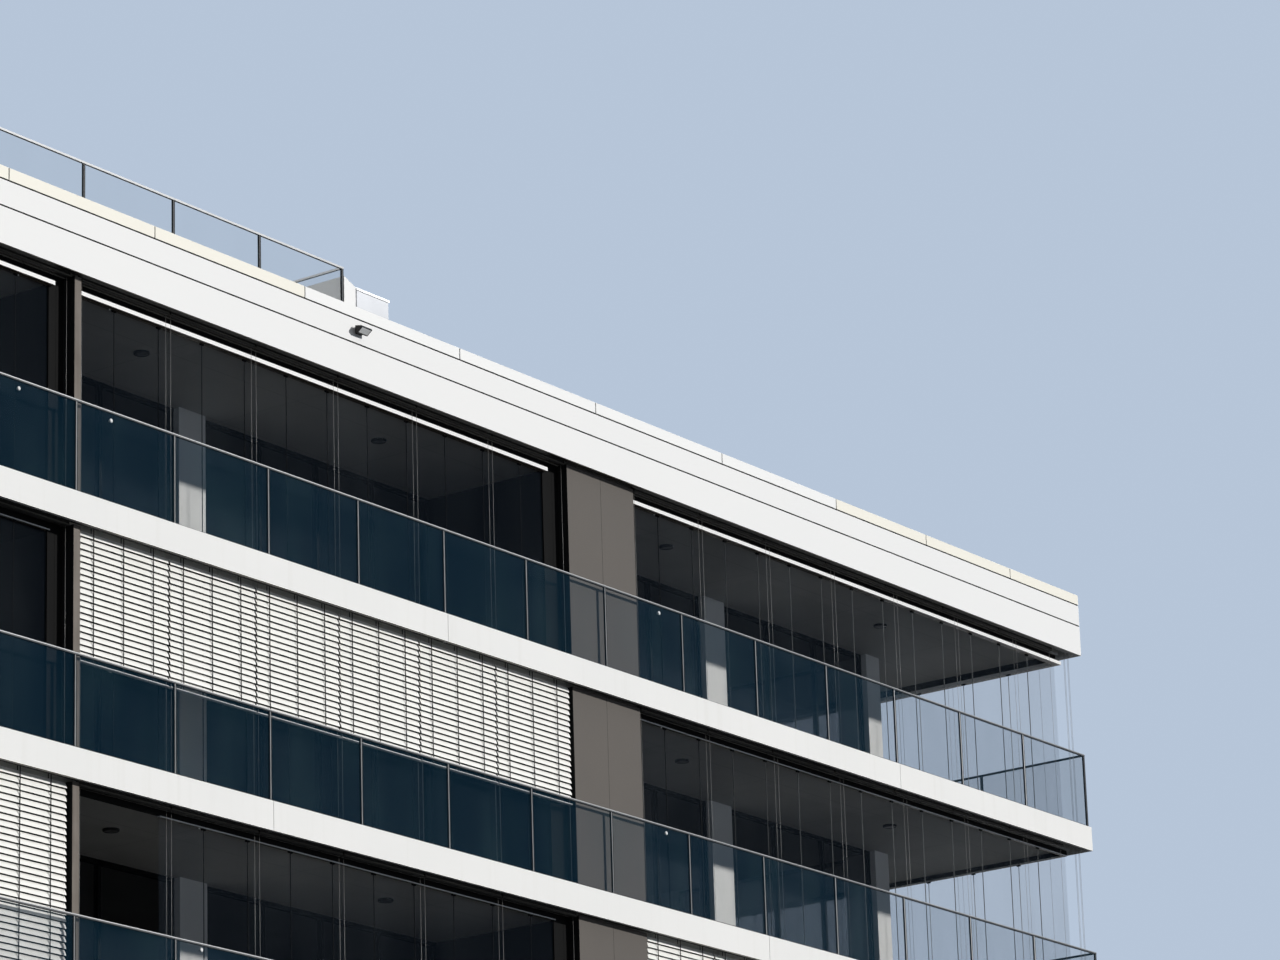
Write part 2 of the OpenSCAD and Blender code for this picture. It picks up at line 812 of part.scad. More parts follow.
// Section of the coping block: it sits on the parapet, falls inwards and laps over the deck
module coping_profile() {
    inner_z = coping_face_h - coping_fall;
    polygon([
        [0, 0],
        [0, coping_face_h],
        [coping_w, inner_z],
        [coping_w, inner_z - coping_t],
        [slab_inset, 0]
    ]);
}

module roof_coping() {
    z = roof_z - coping_face_h;
    gap = coping_joint_w / 2;
    color([1, 0.99, 0.94]) {
        front_and_back()
            for (r = runs_of(coping_stops))
                front_run(r[0] == 0 ? 0 : r[0] + gap, r[1] == len_x ? len_x : r[1] - gap, 0, z)
                    coping_profile();
        both_ends()
            for (r = runs_of(divide(coping_w, block_d - coping_w, coping_l)))
                end_run(r[0] + gap, r[1] - gap, 0, z)
                    coping_profile();
    }
}

module roof_deck() {
    color("darkgray")
        footprint_block(slab_inset, soffit_z + roof_slab_t, deck_z);
}

// The roof terrace runs from the vent to the left end and from front to back
module terrace_glass() {
    color([0.2, 0.42, 0.45, 0.5]) {
        front_and_back()
            for (p = terrace_panes)
                front_bar(p[0], p[1], terrace_setback, terrace_in, deck_z, terrace_glass_z);
        for (s = [terrace_end, terrace_u1 - balustrade_t], p = terrace_end_panes)
            end_bar(p[0], p[1], s, s + balustrade_t, deck_z, terrace_glass_z);
    }
}

// Roof vent: a white cheek with a sloping top and a metal box with a flat lid beside it
vent_gap = 20;
vent_slope = 95;
vent_top = terrace_top - 110;
module vent_cheek() {
    u1 = terrace_end - vent_gap;
    color("white")
        translate([half_x - u1, -half_y + terrace_setback + vent_l, deck_z])
            rotate([90, 0, 0])
                linear_extrude(vent_l)
                    polygon([
                        [0, 0],
                        [cheek_w, 0],
                        [cheek_w, vent_top - vent_slope - deck_z],
                        [0, vent_top - deck_z]
                    ]);
}

module vent_box() {
    lid_t = 30;
    lid_over = 12;
    u1 = terrace_end - vent_gap - cheek_w - vent_gap;
    u0 = u1 - vent_box_w;
    z1 = vent_top - vent_slope - lid_t;
    color("silver") {
        front_bar(u0, u1, terrace_setback, terrace_setback + vent_l, deck_z, z1);
        front_bar(u0 - lid_over, u1 + lid_over, terrace_setback - lid_over,
            terrace_setback + vent_l + lid_over, z1, z1 + lid_t);
    }
}

// Small floodlight: a bracket on the middle board and a tilted lamp head in front of it
floodlight_w = 200;
module floodlight() {
    z = soffit_z + fascia_low_h + groove_h + fascia_mid_h / 2;
    color([0.08, 0.08, 0.08])
        translate([half_x - pier_u1 - floodlight_from_pier, -half_y, z]) {
            translate([-50, -40, -40])
                cube([100, 40, 88]);
            translate([-floodlight_w / 2, -40, 0])
                rotate([90, 0, 90])
                    linear_extrude(floodlight_w)
                        polygon([[0, 48], [-95, 30], [-110, 10], [-30, -52], [0, -40]]);
        }
}

base_slab();
for (k = [1 : top_storey]) {
    floor_slab(k);
    edge_band(k);
}
for (k = [0 : top_storey]) {
    room_walls(k);
    loggia_leaves(k);
}
pier_panels();
party_walls();
room_windows();
glazing_tracks();
head_rails();
closing_posts();
balustrade_glass();
balustrade_joints();
handrails();
raised_blinds();
lowered_blinds();
ceiling_lamps();
roof_slab();
roof_parapet();
fascia_boards();
roof_coping();
roof_deck();
terrace_glass();
vent_cheek();
vent_box();
floodlight();
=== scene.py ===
# %% [markdown]
# # An apartment block with glazed loggias
#
# The block is 33 m long and seven storeys high. White panels hide the edge of each floor slab, a
# frameless glass balustrade stands on it, and a wall of sliding glass leaves encloses a deep loggia
# behind it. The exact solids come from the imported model. This file gives each of them a finish and
# adds the small things that a solid model leaves out: slats, cords, wires, seals, frames and knobs.

import json
import math

import bpy
import numpy as np
from mathutils import Matrix, Vector


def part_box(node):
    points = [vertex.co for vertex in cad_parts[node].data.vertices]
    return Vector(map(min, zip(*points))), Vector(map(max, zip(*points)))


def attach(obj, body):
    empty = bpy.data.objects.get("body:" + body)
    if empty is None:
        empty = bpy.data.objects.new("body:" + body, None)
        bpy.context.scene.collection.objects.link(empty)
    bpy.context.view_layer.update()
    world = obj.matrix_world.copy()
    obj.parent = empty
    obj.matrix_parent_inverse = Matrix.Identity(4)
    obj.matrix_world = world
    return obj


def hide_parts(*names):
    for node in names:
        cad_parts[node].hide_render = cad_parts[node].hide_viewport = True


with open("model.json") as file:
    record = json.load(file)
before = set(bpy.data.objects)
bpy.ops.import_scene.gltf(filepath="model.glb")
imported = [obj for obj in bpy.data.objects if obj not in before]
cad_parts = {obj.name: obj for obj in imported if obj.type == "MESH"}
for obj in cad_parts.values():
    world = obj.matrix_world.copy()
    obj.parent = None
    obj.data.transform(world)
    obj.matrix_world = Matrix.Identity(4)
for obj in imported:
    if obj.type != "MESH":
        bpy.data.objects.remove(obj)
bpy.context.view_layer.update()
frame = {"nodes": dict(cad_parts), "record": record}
nodes = frame["nodes"]

# %% [markdown]
# ## Levels and stations
#
# Every later piece is placed by a few levels and edges, read off the frame. A floor is the top of its
# white edge band and a ceiling is the underside of the band above. The front is the side towards -Y,
# and the photographed corner is the one at +X.

# %% Read the levels off the frame
TOP = 6
base_low, base_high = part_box("base_slab")
RIGHT_X, FRONT_Y = base_high.x, base_low.y
bands = [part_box(f"edge_band_{k}") for k in range(1, TOP + 1)]
floor_z = [base_high.z] + [high.z for low, high in bands]
ceiling_z = [low.z for low, high in bands] + [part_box("roof_slab")[0].z]
roof_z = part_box("roof_coping")[1].z
deck_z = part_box("roof_deck")[1].z
storey_h = floor_z[2] - floor_z[1]
pier_low, pier_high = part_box("pier_panels")
PARTY_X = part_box("party_walls")[0].x
print("floors", [round(z, 2) for z in floor_z], "ceilings", [round(z, 2) for z in ceiling_z])

# %% [markdown]
# ## The camera
#
# The photograph was taken from the street, far off and with a long lens, looking up along the front.
# The place, the lens and the tilt were solved from straight edges of the building, measured from the
# right front corner of the block.

# %% Set up the camera
PHOTO_W = 1280
FOCAL_PIXELS = 4911.7
SENSOR_W = 36.0
EYE_LEFT, EYE_OUT, EYE_BELOW_SOFFIT = 61.49, 36.148, 19.612
YAW, PITCH, ROLL = (math.radians(a) for a in (54.3, 17.65, -1.84))

camera_data = bpy.data.cameras.new("street_camera")
camera_data.sensor_width = SENSOR_W
camera_data.sensor_fit = "HORIZONTAL"
camera_data.lens = FOCAL_PIXELS * SENSOR_W / PHOTO_W
camera_data.clip_start, camera_data.clip_end = 1.0, 2000.0
camera = bpy.data.objects.new("street_camera", camera_data)
bpy.context.scene.collection.objects.link(camera)
bpy.context.scene.camera = camera

eye = Vector((RIGHT_X - EYE_LEFT, FRONT_Y - EYE_OUT, ceiling_z[TOP] - EYE_BELOW_SOFFIT))
forward = Vector((math.sin(YAW) * math.cos(PITCH), math.cos(YAW) * math.cos(PITCH), math.sin(PITCH)))
level_right = Vector((math.cos(YAW), -math.sin(YAW), 0.0))
level_up = level_right.cross(forward)
right = math.cos(ROLL) * level_right + math.sin(ROLL) * level_up
up = math.cos(ROLL) * level_up - math.sin(ROLL) * level_right
turn_matrix = Matrix((right, up, -forward)).transposed()
camera.matrix_world = Matrix.Translation(eye) @ turn_matrix.to_4x4()
print("lens", round(camera_data.lens, 2), "mm, eye", [round(v, 3) for v in eye])

# %% [markdown]
# ## Meshes from arrays
#
# Nearly everything here is a straight bar with some outline, or a small turned part, repeated
# hundreds of times. With numpy a thousand bars are one array operation, and they go into one mesh.
# That is quicker than a thousand objects, and it needs no modifier.

# %% Put arrays into a mesh that rides on the block
BODY = "root"
AXES = X_WAY, Y_WAY, Z_WAY = np.eye(3)


def put(name, points, faces, slot, finish, smooth=False):
    """One mesh object from points (n, 3) and a list of face arrays, each (count, corners)."""
    mesh = bpy.data.meshes.new(name)
    corners = np.concatenate([f.ravel() for f in faces]).astype(np.int32)
    sizes = np.concatenate([np.full(len(f), f.shape[1]) for f in faces]).astype(np.int32)
    starts = np.concatenate([[0], np.cumsum(sizes)[:-1]]).astype(np.int32)
    mesh.vertices.add(len(points))
    mesh.vertices.foreach_set("co", points.astype(np.float32).ravel())
    mesh.loops.add(len(corners))
    mesh.loops.foreach_set("vertex_index", corners)
    mesh.polygons.add(len(sizes))
    mesh.polygons.foreach_set("loop_start", starts)
    mesh.polygons.foreach_set("loop_total", sizes)
    mesh.polygons.foreach_set("use_smooth", np.full(len(sizes), smooth))
    mesh.update(calc_edges=True)
    mesh.validate()
    mesh.materials.append(finish.material)
    piece = bpy.data.objects.new(name, mesh)
    bpy.context.scene.collection.objects.link(piece)
    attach(piece, BODY)
    print(name, "faces", len(sizes))
    return piece


# %% Outlines and the bars that follow them
def bevelled(width, height, bevel):
    """Rectangle round the origin with its corners cut: eight points, anticlockwise."""
    w, h = width / 2, height / 2
    return np.array([
        [-w + bevel, -h], [w - bevel, -h], [w, -h + bevel], [w, h - bevel],
        [w - bevel, h], [-w + bevel, h], [-w, h - bevel], [-w, -h + bevel],
    ])


def rounded(radius, sides):
    """Regular polygon: point j is radius * (cos a, sin a) with a = 2 pi j / sides."""
    angle = np.arange(sides) * 2 * np.pi / sides
    return radius * np.stack([np.cos(angle), np.sin(angle)], axis=1)


def carry(outline, start, end, across, up):
    """A closed outline carried along straight lines, one bar per line, with both ends closed.

    Point (i, t, j) = (1 - t) * start_i + t * end_i + outline_x_j * across + outline_y_j * up, for
    t = 0 and 1. Where across x up points against the line, its two ends change places, so that the
    faces of every bar look outwards.
    """
    start, end = np.atleast_2d(start).astype(float), np.atleast_2d(end).astype(float)
    across = np.broadcast_to(np.asarray(across, float), start.shape)
    up = np.broadcast_to(np.asarray(up, float), start.shape)
    against = (np.cross(across, up) * (end - start)).sum(axis=1) < 0
    start, end = np.where(against[:, None], end, start), np.where(against[:, None], start, end)
    shift = outline[None, :, 0, None] * across[:, None] + outline[None, :, 1, None] * up[:, None]
    points = np.stack([start[:, None] + shift, end[:, None] + shift], axis=1)
    count, m = len(start), len(outline)
    first = (np.arange(count) * 2 * m)[:, None]
    j, k = np.arange(m), (np.arange(m) + 1) % m
    sides = np.stack([first + j, first + k, first + m + k, first + m + j], axis=-1)
    caps = np.concatenate([first + j[::-1], first + m + j])
    return points.reshape(-1, 3), [sides.reshape(-1, 4), caps]


def turned(profile, centres, axis, sides):
    """A profile of (radius, height) pairs turned about an axis, once at each centre.

    Point (i, p, a) = centre_i + height_p * axis + radius_p * (cos a * e + sin a * f), where e, f and
    axis are square to each other. Its first and last rings are closed with one face each.
    """
    centres, axis = np.atleast_2d(centres).astype(float), np.asarray(axis, float)
    e = np.roll(axis, 1)
    f = np.cross(axis, e)
    ring = rounded(1.0, sides)
    spoke = ring[:, :1] * e + ring[:, 1:] * f
    local = profile[:, 1, None, None] * axis + profile[:, 0, None, None] * spoke[None]
    points = centres[:, None, None] + local[None]
    count, rings = len(centres), len(profile)
    first = (np.arange(count) * rings * sides)[:, None, None]
    p, a = np.arange(rings - 1)[:, None] * sides, np.arange(sides)
    b = (a + 1) % sides
    quads = np.stack([first + p + a, first + p + b, first + p + sides + b, first + p + sides + a], axis=-1)
    ends = first[:, 0]
    caps = np.concatenate([ends + a[::-1], ends + (rings - 1) * sides + a])
    return points.reshape(-1, 3), [quads.reshape(-1, 4), caps]


def rows(x, y, z):
    """Points (n, 3) from coordinates that are numbers or arrays."""
    return np.stack(np.broadcast_arrays(x, y, z), axis=1).astype(float)


def span(middle, axis, low, high):
    """Starts and ends of lines through the points, from low to high along one axis."""
    start, end = middle.copy(), middle.copy()
    start[..., axis], end[..., axis] = low, high
    return start, end


def joined(parts):
    """Several (points, faces) results as one, with the faces renumbered."""
    offset, points, faces = 0, [], []
    for part_points, part_faces in parts:
        points.append(part_points)
        faces += [f + offset for f in part_faces]
        offset += len(part_points)
    return np.concatenate(points), faces


# %% [markdown]
# ## Finding the separate solids of a node
#
# A node such as the lowered blinds holds many solids that don't touch, and the small things belong
# to one solid each. So each node is split into its solids again. Corners at the same place get one
# number, and numbers then spread through the triangles until every solid has its own.

# %% Boxes of a node's solids
def solid_boxes(node):
    """Array (n, 2, 3) with the lowest and highest corner of each separate solid of a CAD node.

    Each corner starts with its own label. In each pass a triangle gives its lowest label to its
    three corners, until nothing changes.
    """
    mesh = nodes[node].data
    raw = np.empty(len(mesh.vertices) * 3, np.float32)
    mesh.vertices.foreach_get("co", raw)
    corners, shared = np.unique(np.round(raw.reshape(-1, 3), 4), axis=0, return_inverse=True)
    index = np.empty(len(mesh.loops), np.int32)
    mesh.loops.foreach_get("vertex_index", index)
    triangles = shared.reshape(-1)[index].reshape(-1, 3)
    label = np.arange(len(corners))
    while True:
        spread = label.copy()
        np.minimum.at(spread, triangles.ravel(), np.repeat(label[triangles].min(axis=1), 3))
        spread = spread[spread]
        if (spread == label).all():
            break
        label = spread
    names, group = np.unique(label, return_inverse=True)
    boxes = np.empty((len(names), 2, 3))
    boxes[:, 0], boxes[:, 1] = np.inf, -np.inf
    np.minimum.at(boxes[:, 0], group.reshape(-1), corners)
    np.maximum.at(boxes[:, 1], group.reshape(-1), corners)
    return boxes


def along_x(boxes):
    """True for each box that is longer along X than along Y: a piece on the front or the back."""
    size = boxes[:, 1] - boxes[:, 0]
    return size[:, 0] > size[:, 1]


def gaps(row, axis):
    """The row in order along the axis, and the middle and width of each gap between neighbours."""
    row = row[np.argsort(row[:, 0, axis])]
    before, after = row[:-1, 1, axis], row[1:, 0, axis]
    return row, (before + after) / 2, after - before


def by_side(boxes):
    """Axis 0 with the boxes along the front and back, and axis 1 with those along the ends."""
    return (0, boxes[along_x(boxes)]), (1, boxes[~along_x(boxes)])


# %% [markdown]
# ## Shader maths in plain Python
#
# A procedural finish is a small calculation, but written as nodes it takes many lines. The class
# below wraps a socket, and the usual operators add the Math nodes, so a mask can be written as
# 1 - noise * 0.5.

# %% One class for what flows between nodes, one for a tree of nodes and one for a finish
class Signal:
    """The output of a node. Operators on it add Math nodes."""

    def __init__(self, graph, socket):
        self.graph, self.socket = graph, socket

    def math(self, operation, *others):
        values = dict(enumerate([self, *others]))
        return self.graph.node("ShaderNodeMath", values, operation=operation)

    def __add__(self, other):
        return self.math("ADD", other)

    def __sub__(self, other):
        return self.math("SUBTRACT", other)

    def __mul__(self, other):
        return self.math("MULTIPLY", other)

    def __truediv__(self, other):
        return self.math("DIVIDE", other)

    def __rsub__(self, other):
        return (self * -1.0) + other

    __radd__ = __add__
    __rmul__ = __mul__

    def above(self, limit):
        """1 where the number is over the limit, else 0."""
        return self.math("GREATER_THAN", limit)

    def below(self, limit):
        """1 where the number is under the limit, else 0."""
        return self.math("LESS_THAN", limit)

    def band(self, low, high):
        """1 where the number lies between low and high."""
        return self.above(low) * self.below(high)

    def size(self):
        """The number without its sign."""
        return self.math("ABSOLUTE")

    def repeat(self, step):
        """Place within a step that repeats, from 0 to 1."""
        return (self / step).math("FRACT")

    def lines(self, step, width):
        """1 on a line of this width at the start of each step."""
        return self.repeat(step).band(0.0, width / step)

    def ramp(self, *stops):
        """Smooth number through stops of (place, grey)."""
        return self.graph.node("ShaderNodeValToRGB", {"Fac": self}, stops=stops)


class Graph:
    """A tree of nodes, of a material or of the world."""

    def __init__(self, tree):
        self.tree = tree

    def node(self, kind, sockets=None, output=0, **settings):
        """Adds a node: its settings first, then a number, a colour or a link for each socket."""
        made = self.tree.nodes.new(kind)
        for key, value in settings.items():
            if key == "stops":
                self.set_stops(made.color_ramp.elements, value)
            else:
                setattr(made, key, value)
        for key, value in (sockets or {}).items():
            self.feed(made.inputs[key], value)
        return Signal(self, made.outputs[output])

    @staticmethod
    def set_stops(elements, stops):
        while len(elements) < len(stops):
            elements.new(1.0)
        for element, (place, grey) in zip(elements, stops):
            element.position, element.color = place, (grey, grey, grey, 1.0)

    def feed(self, socket, value):
        if isinstance(value, Signal):
            self.tree.links.new(value.socket, socket)
        elif socket.type == "RGBA":
            socket.default_value = (*value, 1.0)
        else:
            socket.default_value = value

    def seen_directly(self):
        """1 for a ray that comes from the camera, or from it by a reflection or through glass."""
        rays = [self.node("ShaderNodeLightPath", output=kind)
                for kind in ("Is Camera Ray", "Is Glossy Ray", "Is Transmission Ray")]
        return rays[0].math("MAXIMUM", rays[1].math("MAXIMUM", rays[2]))


class Finish(Graph):
    """A material with a Principled shader, and the nodes that feed it. Each is kept by its name."""

    made = {}

    def __init__(self, name, colour, roughness=0.5, gloss=0.5, **constants):
        Finish.made[name] = self
        self.material = bpy.data.materials.new(name)
        self.material.use_nodes = True
        super().__init__(self.material.node_tree)
        self.shader = self.tree.nodes["Principled BSDF"]
        self.set("Base Color", colour)
        self.set("Roughness", roughness)
        self.set("Specular IOR Level", gloss)
        for socket, value in constants.items():
            self.set(socket, value)
        self.place = self.node("ShaderNodeTexCoord", output="Object")
        print("finish", name)

    def set(self, socket, value):
        self.feed(self.shader.inputs[socket], value)

    def paint(self, amount, first, second):
        """The surface's colour lies between first and second."""
        self.set("Base Color", self.mix(amount, first, second))

    def mix(self, amount, first, second):
        """Colour between first and second."""
        values = {0: amount, 6: first, 7: second}
        return self.node("ShaderNodeMix", values, 2, data_type="RGBA", clamp_factor=True)

    def axis(self, letter):
        """One coordinate in metres."""
        return self.node("ShaderNodeSeparateXYZ", {0: self.place}, letter)

    def to_corner(self, length):
        """From 0 at this length left of the right corner to 1 at the corner."""
        return (self.axis("X") - (RIGHT_X - length)) / length

    def facing(self, letter):
        """How far the surface looks along one axis, from -1 to 1."""
        normal = self.node("ShaderNodeNewGeometry", output="Normal")
        return self.node("ShaderNodeSeparateXYZ", {0: normal}, letter)

    def flank(self):
        """1 on faces that look along the front, else 0."""
        return self.facing("X").size().above(0.5)

    def setback(self):
        """Depth behind the nearest face of the block, in metres."""
        return (RIGHT_X - self.axis("X").size()).math("MINIMUM", -FRONT_Y - self.axis("Y").size())

    def stretched(self, x=1.0, y=1.0, z=1.0):
        """Object coordinates drawn out: a small factor makes a pattern long that way."""
        return self.node("ShaderNodeMapping", {"Vector": self.place, "Scale": (x, y, z)})

    def noise(self, scale, detail=3.0, vector=None):
        values = {"Vector": vector or self.place, "Scale": scale, "Detail": detail}
        return self.node("ShaderNodeTexNoise", values, "Fac")

    def cells(self, scale, output="Distance"):
        return self.node("ShaderNodeTexVoronoi", {"Vector": self.place, "Scale": scale}, output)

    def bump(self, height, depth):
        """Relief: height 0 to 1 stands for depth in metres."""
        values = {"Height": height, "Distance": depth, "Strength": 1.0}
        self.set("Normal", self.node("ShaderNodeBump", values))


# %% [markdown]
# ## Concrete, board and render
#
# The white edge panels are precast concrete, and the roof edge is painted board. A flat white looks
# false close up, so the colour drifts by a few per cent, faint streaks run down where rain drips,
# and fine pores give a slight relief. The ends of the room walls behind a pier or the party wall get
# near-black painted shade, like the flanks of both.
#
# Their undersides get near-black painted shade, with a brown strip of painted bounce light between
# the outer edge and the drip groove, so the finish asks which way the surface looks.

# %% White finishes
LIT_EDGE_W = 0.026
# Near-black painted shade for the flanks and for the hidden ends of the room walls.
SHADE_BLACK = (0.012, 0.012, 0.012)
WALL_END_LEFT, WALL_END_RIGHT, OVERLAP = 0.3, 0.31, 0.005


def rain_streaks(finish, strength):
    """Faint vertical marks: a noise squeezed along X and Y and drawn out along Z."""
    marks = finish.noise(1.0, 4.0, finish.stretched(9.0, 9.0, 0.35))
    return marks.ramp((0.55, 0.0), (0.85, 1.0)) * strength


def with_shaded_underside(finish, painted):
    """The painted colour; facing down, painted shade, with painted bounce light at the edge."""
    # Painted bounce light on a strip at the outer edge, painted shade behind it.
    lit_edge = finish.setback().below(LIT_EDGE_W) * finish.noise(0.8).ramp((0.4, 0.45), (0.6, 1.0))
    underside_colour = finish.mix(lit_edge, (0.014, 0.014, 0.013), (0.2, 0.17, 0.125))
    return finish.mix(finish.facing("Z").below(-0.5), painted, underside_colour)


white = Finish("white_concrete", (0.86, 0.86, 0.845), 0.6, gloss=0.1)
clouds = white.noise(0.9, 5.0)
pores = white.noise(260.0, 2.0)
clean = white.mix(clouds, (0.88, 0.88, 0.87), (0.82, 0.825, 0.82))
streaks = rain_streaks(white, 0.2)
streaked = white.mix(streaks, clean, (0.66, 0.65, 0.61))
white.set("Base Color", with_shaded_underside(white, streaked))
white.set("Roughness", clouds * 0.2 + 0.5)
white.bump(pores, 0.0006)

board = Finish("white_board", (0.9, 0.9, 0.895), 0.38, gloss=0.1)
sheen = board.noise(0.6, 2.0)
painted = board.mix(sheen, (0.895, 0.895, 0.89), (0.86, 0.865, 0.865))
board.set("Base Color", with_shaded_underside(board, painted))
board.set("Roughness", sheen * 0.15 + 0.3)
board.bump(board.noise(90.0, 2.0), 0.0004)

render = Finish("white_render", (0.84, 0.84, 0.82), 0.8, gloss=0.05)
grain = render.noise(180.0, 4.0)
patches = render.noise(1.3, 4.0)
wall_face = render.mix(patches, (0.88, 0.88, 0.86), (0.8, 0.795, 0.77))
wall_x = render.axis("X")
behind_pier = wall_x.band(pier_low.x - OVERLAP, pier_high.x + OVERLAP)
# The wall ends behind a pier or the party wall get painted shade.
shaded_wall_end = behind_pier + wall_x.band(PARTY_X - WALL_END_LEFT, PARTY_X + WALL_END_RIGHT)
render.paint(shaded_wall_end, wall_face, SHADE_BLACK)
render.bump(grain, 0.002)

# %% [markdown]
# The coping is laid in lengths. Those towards the left and the last three at the right corner have
# weathered to cream, and those between them are still white.

# %% Coping
CREAM_LEFT_OF, CREAM_RIGHT_OF = 18.06, 6.49
coping = Finish("cream_coping", (0.88, 0.86, 0.78), 0.55)
station_x = coping.axis("X")
cream_mask = (1.0 - station_x.above(RIGHT_X - CREAM_LEFT_OF)) + station_x.above(RIGHT_X - CREAM_RIGHT_OF)
coping_clouds = coping.noise(2.2, 5.0)
cream = coping.mix(coping_clouds, (0.89, 0.865, 0.78), (0.85, 0.82, 0.72))
coping_white = coping.mix(coping_clouds, (0.89, 0.89, 0.88), (0.84, 0.845, 0.84))
coping.paint(cream_mask, coping_white, cream)
coping.bump(coping.noise(150.0, 3.0), 0.0008)

# %% [markdown]
# The undersides of the slabs are fair-faced concrete. They keep the marks of the shuttering: faint
# seams where its sheets met, and a slightly different tone in each sheet. The same slab carries dark
# floor tiles on top. One material serves both: the top face is the one that looks up, which the
# shader reads from the normal. One loggia's ceiling, left of the party wall, is made near black.
#
# The party wall shows upright board marks. The pier is clad in a warm grey panel with a fine grain.
# The flanks of both, which look along the front, get near-black painted shade.

# %% Grey finishes
SHEET_L, SHEET_W, SEAM, SEAM_AT = 2.5, 1.25, 0.008, (0.3, 0.2)
TILE, TILE_JOINT = 0.6, 0.005
BLACK_STOREY, BELOW_CEILING, ABOVE_CEILING = 5, 0.1, 0.3
concrete = Finish("grey_concrete", (0.24, 0.24, 0.22), 0.75, gloss=0.05)
along, back = concrete.axis("X"), concrete.axis("Y")
sheet_x, sheet_y = (along / SHEET_L).math("FLOOR"), (back / SHEET_W).math("FLOOR")
sheet = concrete.node("ShaderNodeCombineXYZ", {0: sheet_x, 1: sheet_y})
sheets = concrete.node("ShaderNodeTexWhiteNoise", {"Vector": sheet}, "Value", noise_dimensions="3D")
seams = (along + SEAM_AT[0]).lines(SHEET_L, SEAM) + (back + SEAM_AT[1]).lines(SHEET_W, SEAM)
cement = concrete.noise(1.8, 6.0)
tone = cement * 0.7 + sheets * 0.3
underside_colour = concrete.mix(tone, (0.43, 0.428, 0.41), (0.58, 0.578, 0.56))
underside_colour = concrete.mix(seams * 0.6, underside_colour, (0.2, 0.2, 0.19))
black_z = ceiling_z[BLACK_STOREY]
at_black = concrete.axis("Z").band(black_z - BELOW_CEILING, black_z + ABOVE_CEILING)
black_ceiling = along.below(PARTY_X) * at_black
underside_colour = concrete.mix(black_ceiling, underside_colour, (0.006, 0.006, 0.006))
tile_joints = along.lines(TILE, TILE_JOINT) + back.lines(TILE, TILE_JOINT)
tiles = concrete.mix(concrete.noise(7.0, 5.0), (0.07, 0.069, 0.067), (0.11, 0.108, 0.104))
tiles = concrete.mix(tile_joints, tiles, (0.03, 0.03, 0.029))
concrete.paint(concrete.facing("Z").above(0.5), underside_colour, tiles)
concrete.bump(concrete.noise(120.0, 4.0) - seams, 0.0015)

party = Finish("party_concrete", (0.2, 0.18, 0.16), 0.7, gloss=0.1)
boards = party.noise(1.0, 5.0, party.stretched(14.0, 14.0, 0.8))
blotches = party.noise(3.5, 4.0)
party_tone = (boards * 0.6 + blotches * 0.4).ramp((0.3, 0.0), (0.7, 1.0))
party_face = party.mix(party_tone, (0.145, 0.126, 0.108), (0.23, 0.205, 0.184))
party.paint(party.flank(), party_face, SHADE_BLACK)
party.bump(boards, 0.003)

panel = Finish("grey_panel", (0.11, 0.097, 0.085), 0.5, gloss=0.15)
fine_grain = panel.noise(70.0, 4.0).ramp((0.3, 0.0), (0.7, 1.0))
drift = panel.noise(1.1, 5.0)
panel_tone = drift * 0.55 + fine_grain * 0.45
panel_face = panel.mix(panel_tone, (0.088, 0.078, 0.068), (0.136, 0.121, 0.108))
panel.paint(panel.flank(), panel_face, SHADE_BLACK)
panel.set("Roughness", drift * 0.25 + 0.38)
panel.bump(panel.noise(220.0, 3.0), 0.0007)

# %% [markdown]
# ## Glass
#
# Four glasses show: blue-green panes in the balustrades, paler ones round the terrace, clear leaves
# round the loggias, and dark double glazing on the rooms. A flat pane hardly bends light, so real
# refraction isn't needed. A Principled shader with a dark colour and an Alpha below one tints what
# is behind and still reflects. Light meets each pane twice, at its front and its back, so an Alpha
# of 0.11 lets 0.89 times 0.89 through, nearly four fifths. Dust thickens the tint in soft wipes.

# %% Glass finishes
def glass(name, colour, dusty, alpha, dust_alpha, scale, gloss):
    """Dark see-through glass: noise moves the colour and the alpha from clean to dusty."""
    finish = Finish(name, colour, 0.04, gloss, IOR=1.5)
    wipes = finish.noise(scale, 5.0, finish.stretched(1.0, 1.0, 0.35))
    spots = finish.noise(scale * 12.0, 3.0).ramp((0.6, 0.0), (0.85, 1.0))
    dust = wipes.ramp((0.45, 0.0), (0.8, 1.0)) * (spots * 0.3 + 0.7)
    finish.paint(dust, colour, dusty)
    finish.set("Alpha", dust * (dust_alpha - alpha) + alpha)
    finish.set("Roughness", dust * 0.12 + 0.03)
    finish.bump(finish.noise(0.7, 1.0), 0.0004)


glass("balustrade_glass", (0.008, 0.055, 0.105), (0.05, 0.12, 0.15), 0.11, 0.16, 1.6, 0.12)
glass("terrace_glass", (0.02, 0.09, 0.15), (0.1, 0.17, 0.22), 0.05, 0.08, 1.6, 0.2)
glass("leaf_glass", (0.03, 0.045, 0.068), (0.07, 0.085, 0.1), 0.05, 0.09, 1.1, 0.12)
glass("room_glass", (0.006, 0.008, 0.01), (0.02, 0.023, 0.026), 0.4, 0.46, 0.8, 0.15)

# %% [markdown]
# ## Metals and coated parts
#
# Aluminium profiles here are either anodised and brushed along their length, or powder coated with
# a fine grain. The two kinds share one recipe each.

# %% Metal finishes
def coated(name, colour, roughness, gloss=0.5, grain=420.0):
    """Powder coat: even colour with a slight drift, and a fine orange-peel relief."""
    finish = Finish(name, colour, roughness, gloss)
    drift = finish.noise(4.0, 3.0)
    paler = tuple(min(1.0, c * 1.12 + 0.002) for c in colour)
    finish.paint(drift, colour, paler)
    finish.set("Roughness", drift * 0.16 + (roughness - 0.08))
    finish.bump(finish.noise(grain, 2.0), 0.0002)
    return finish


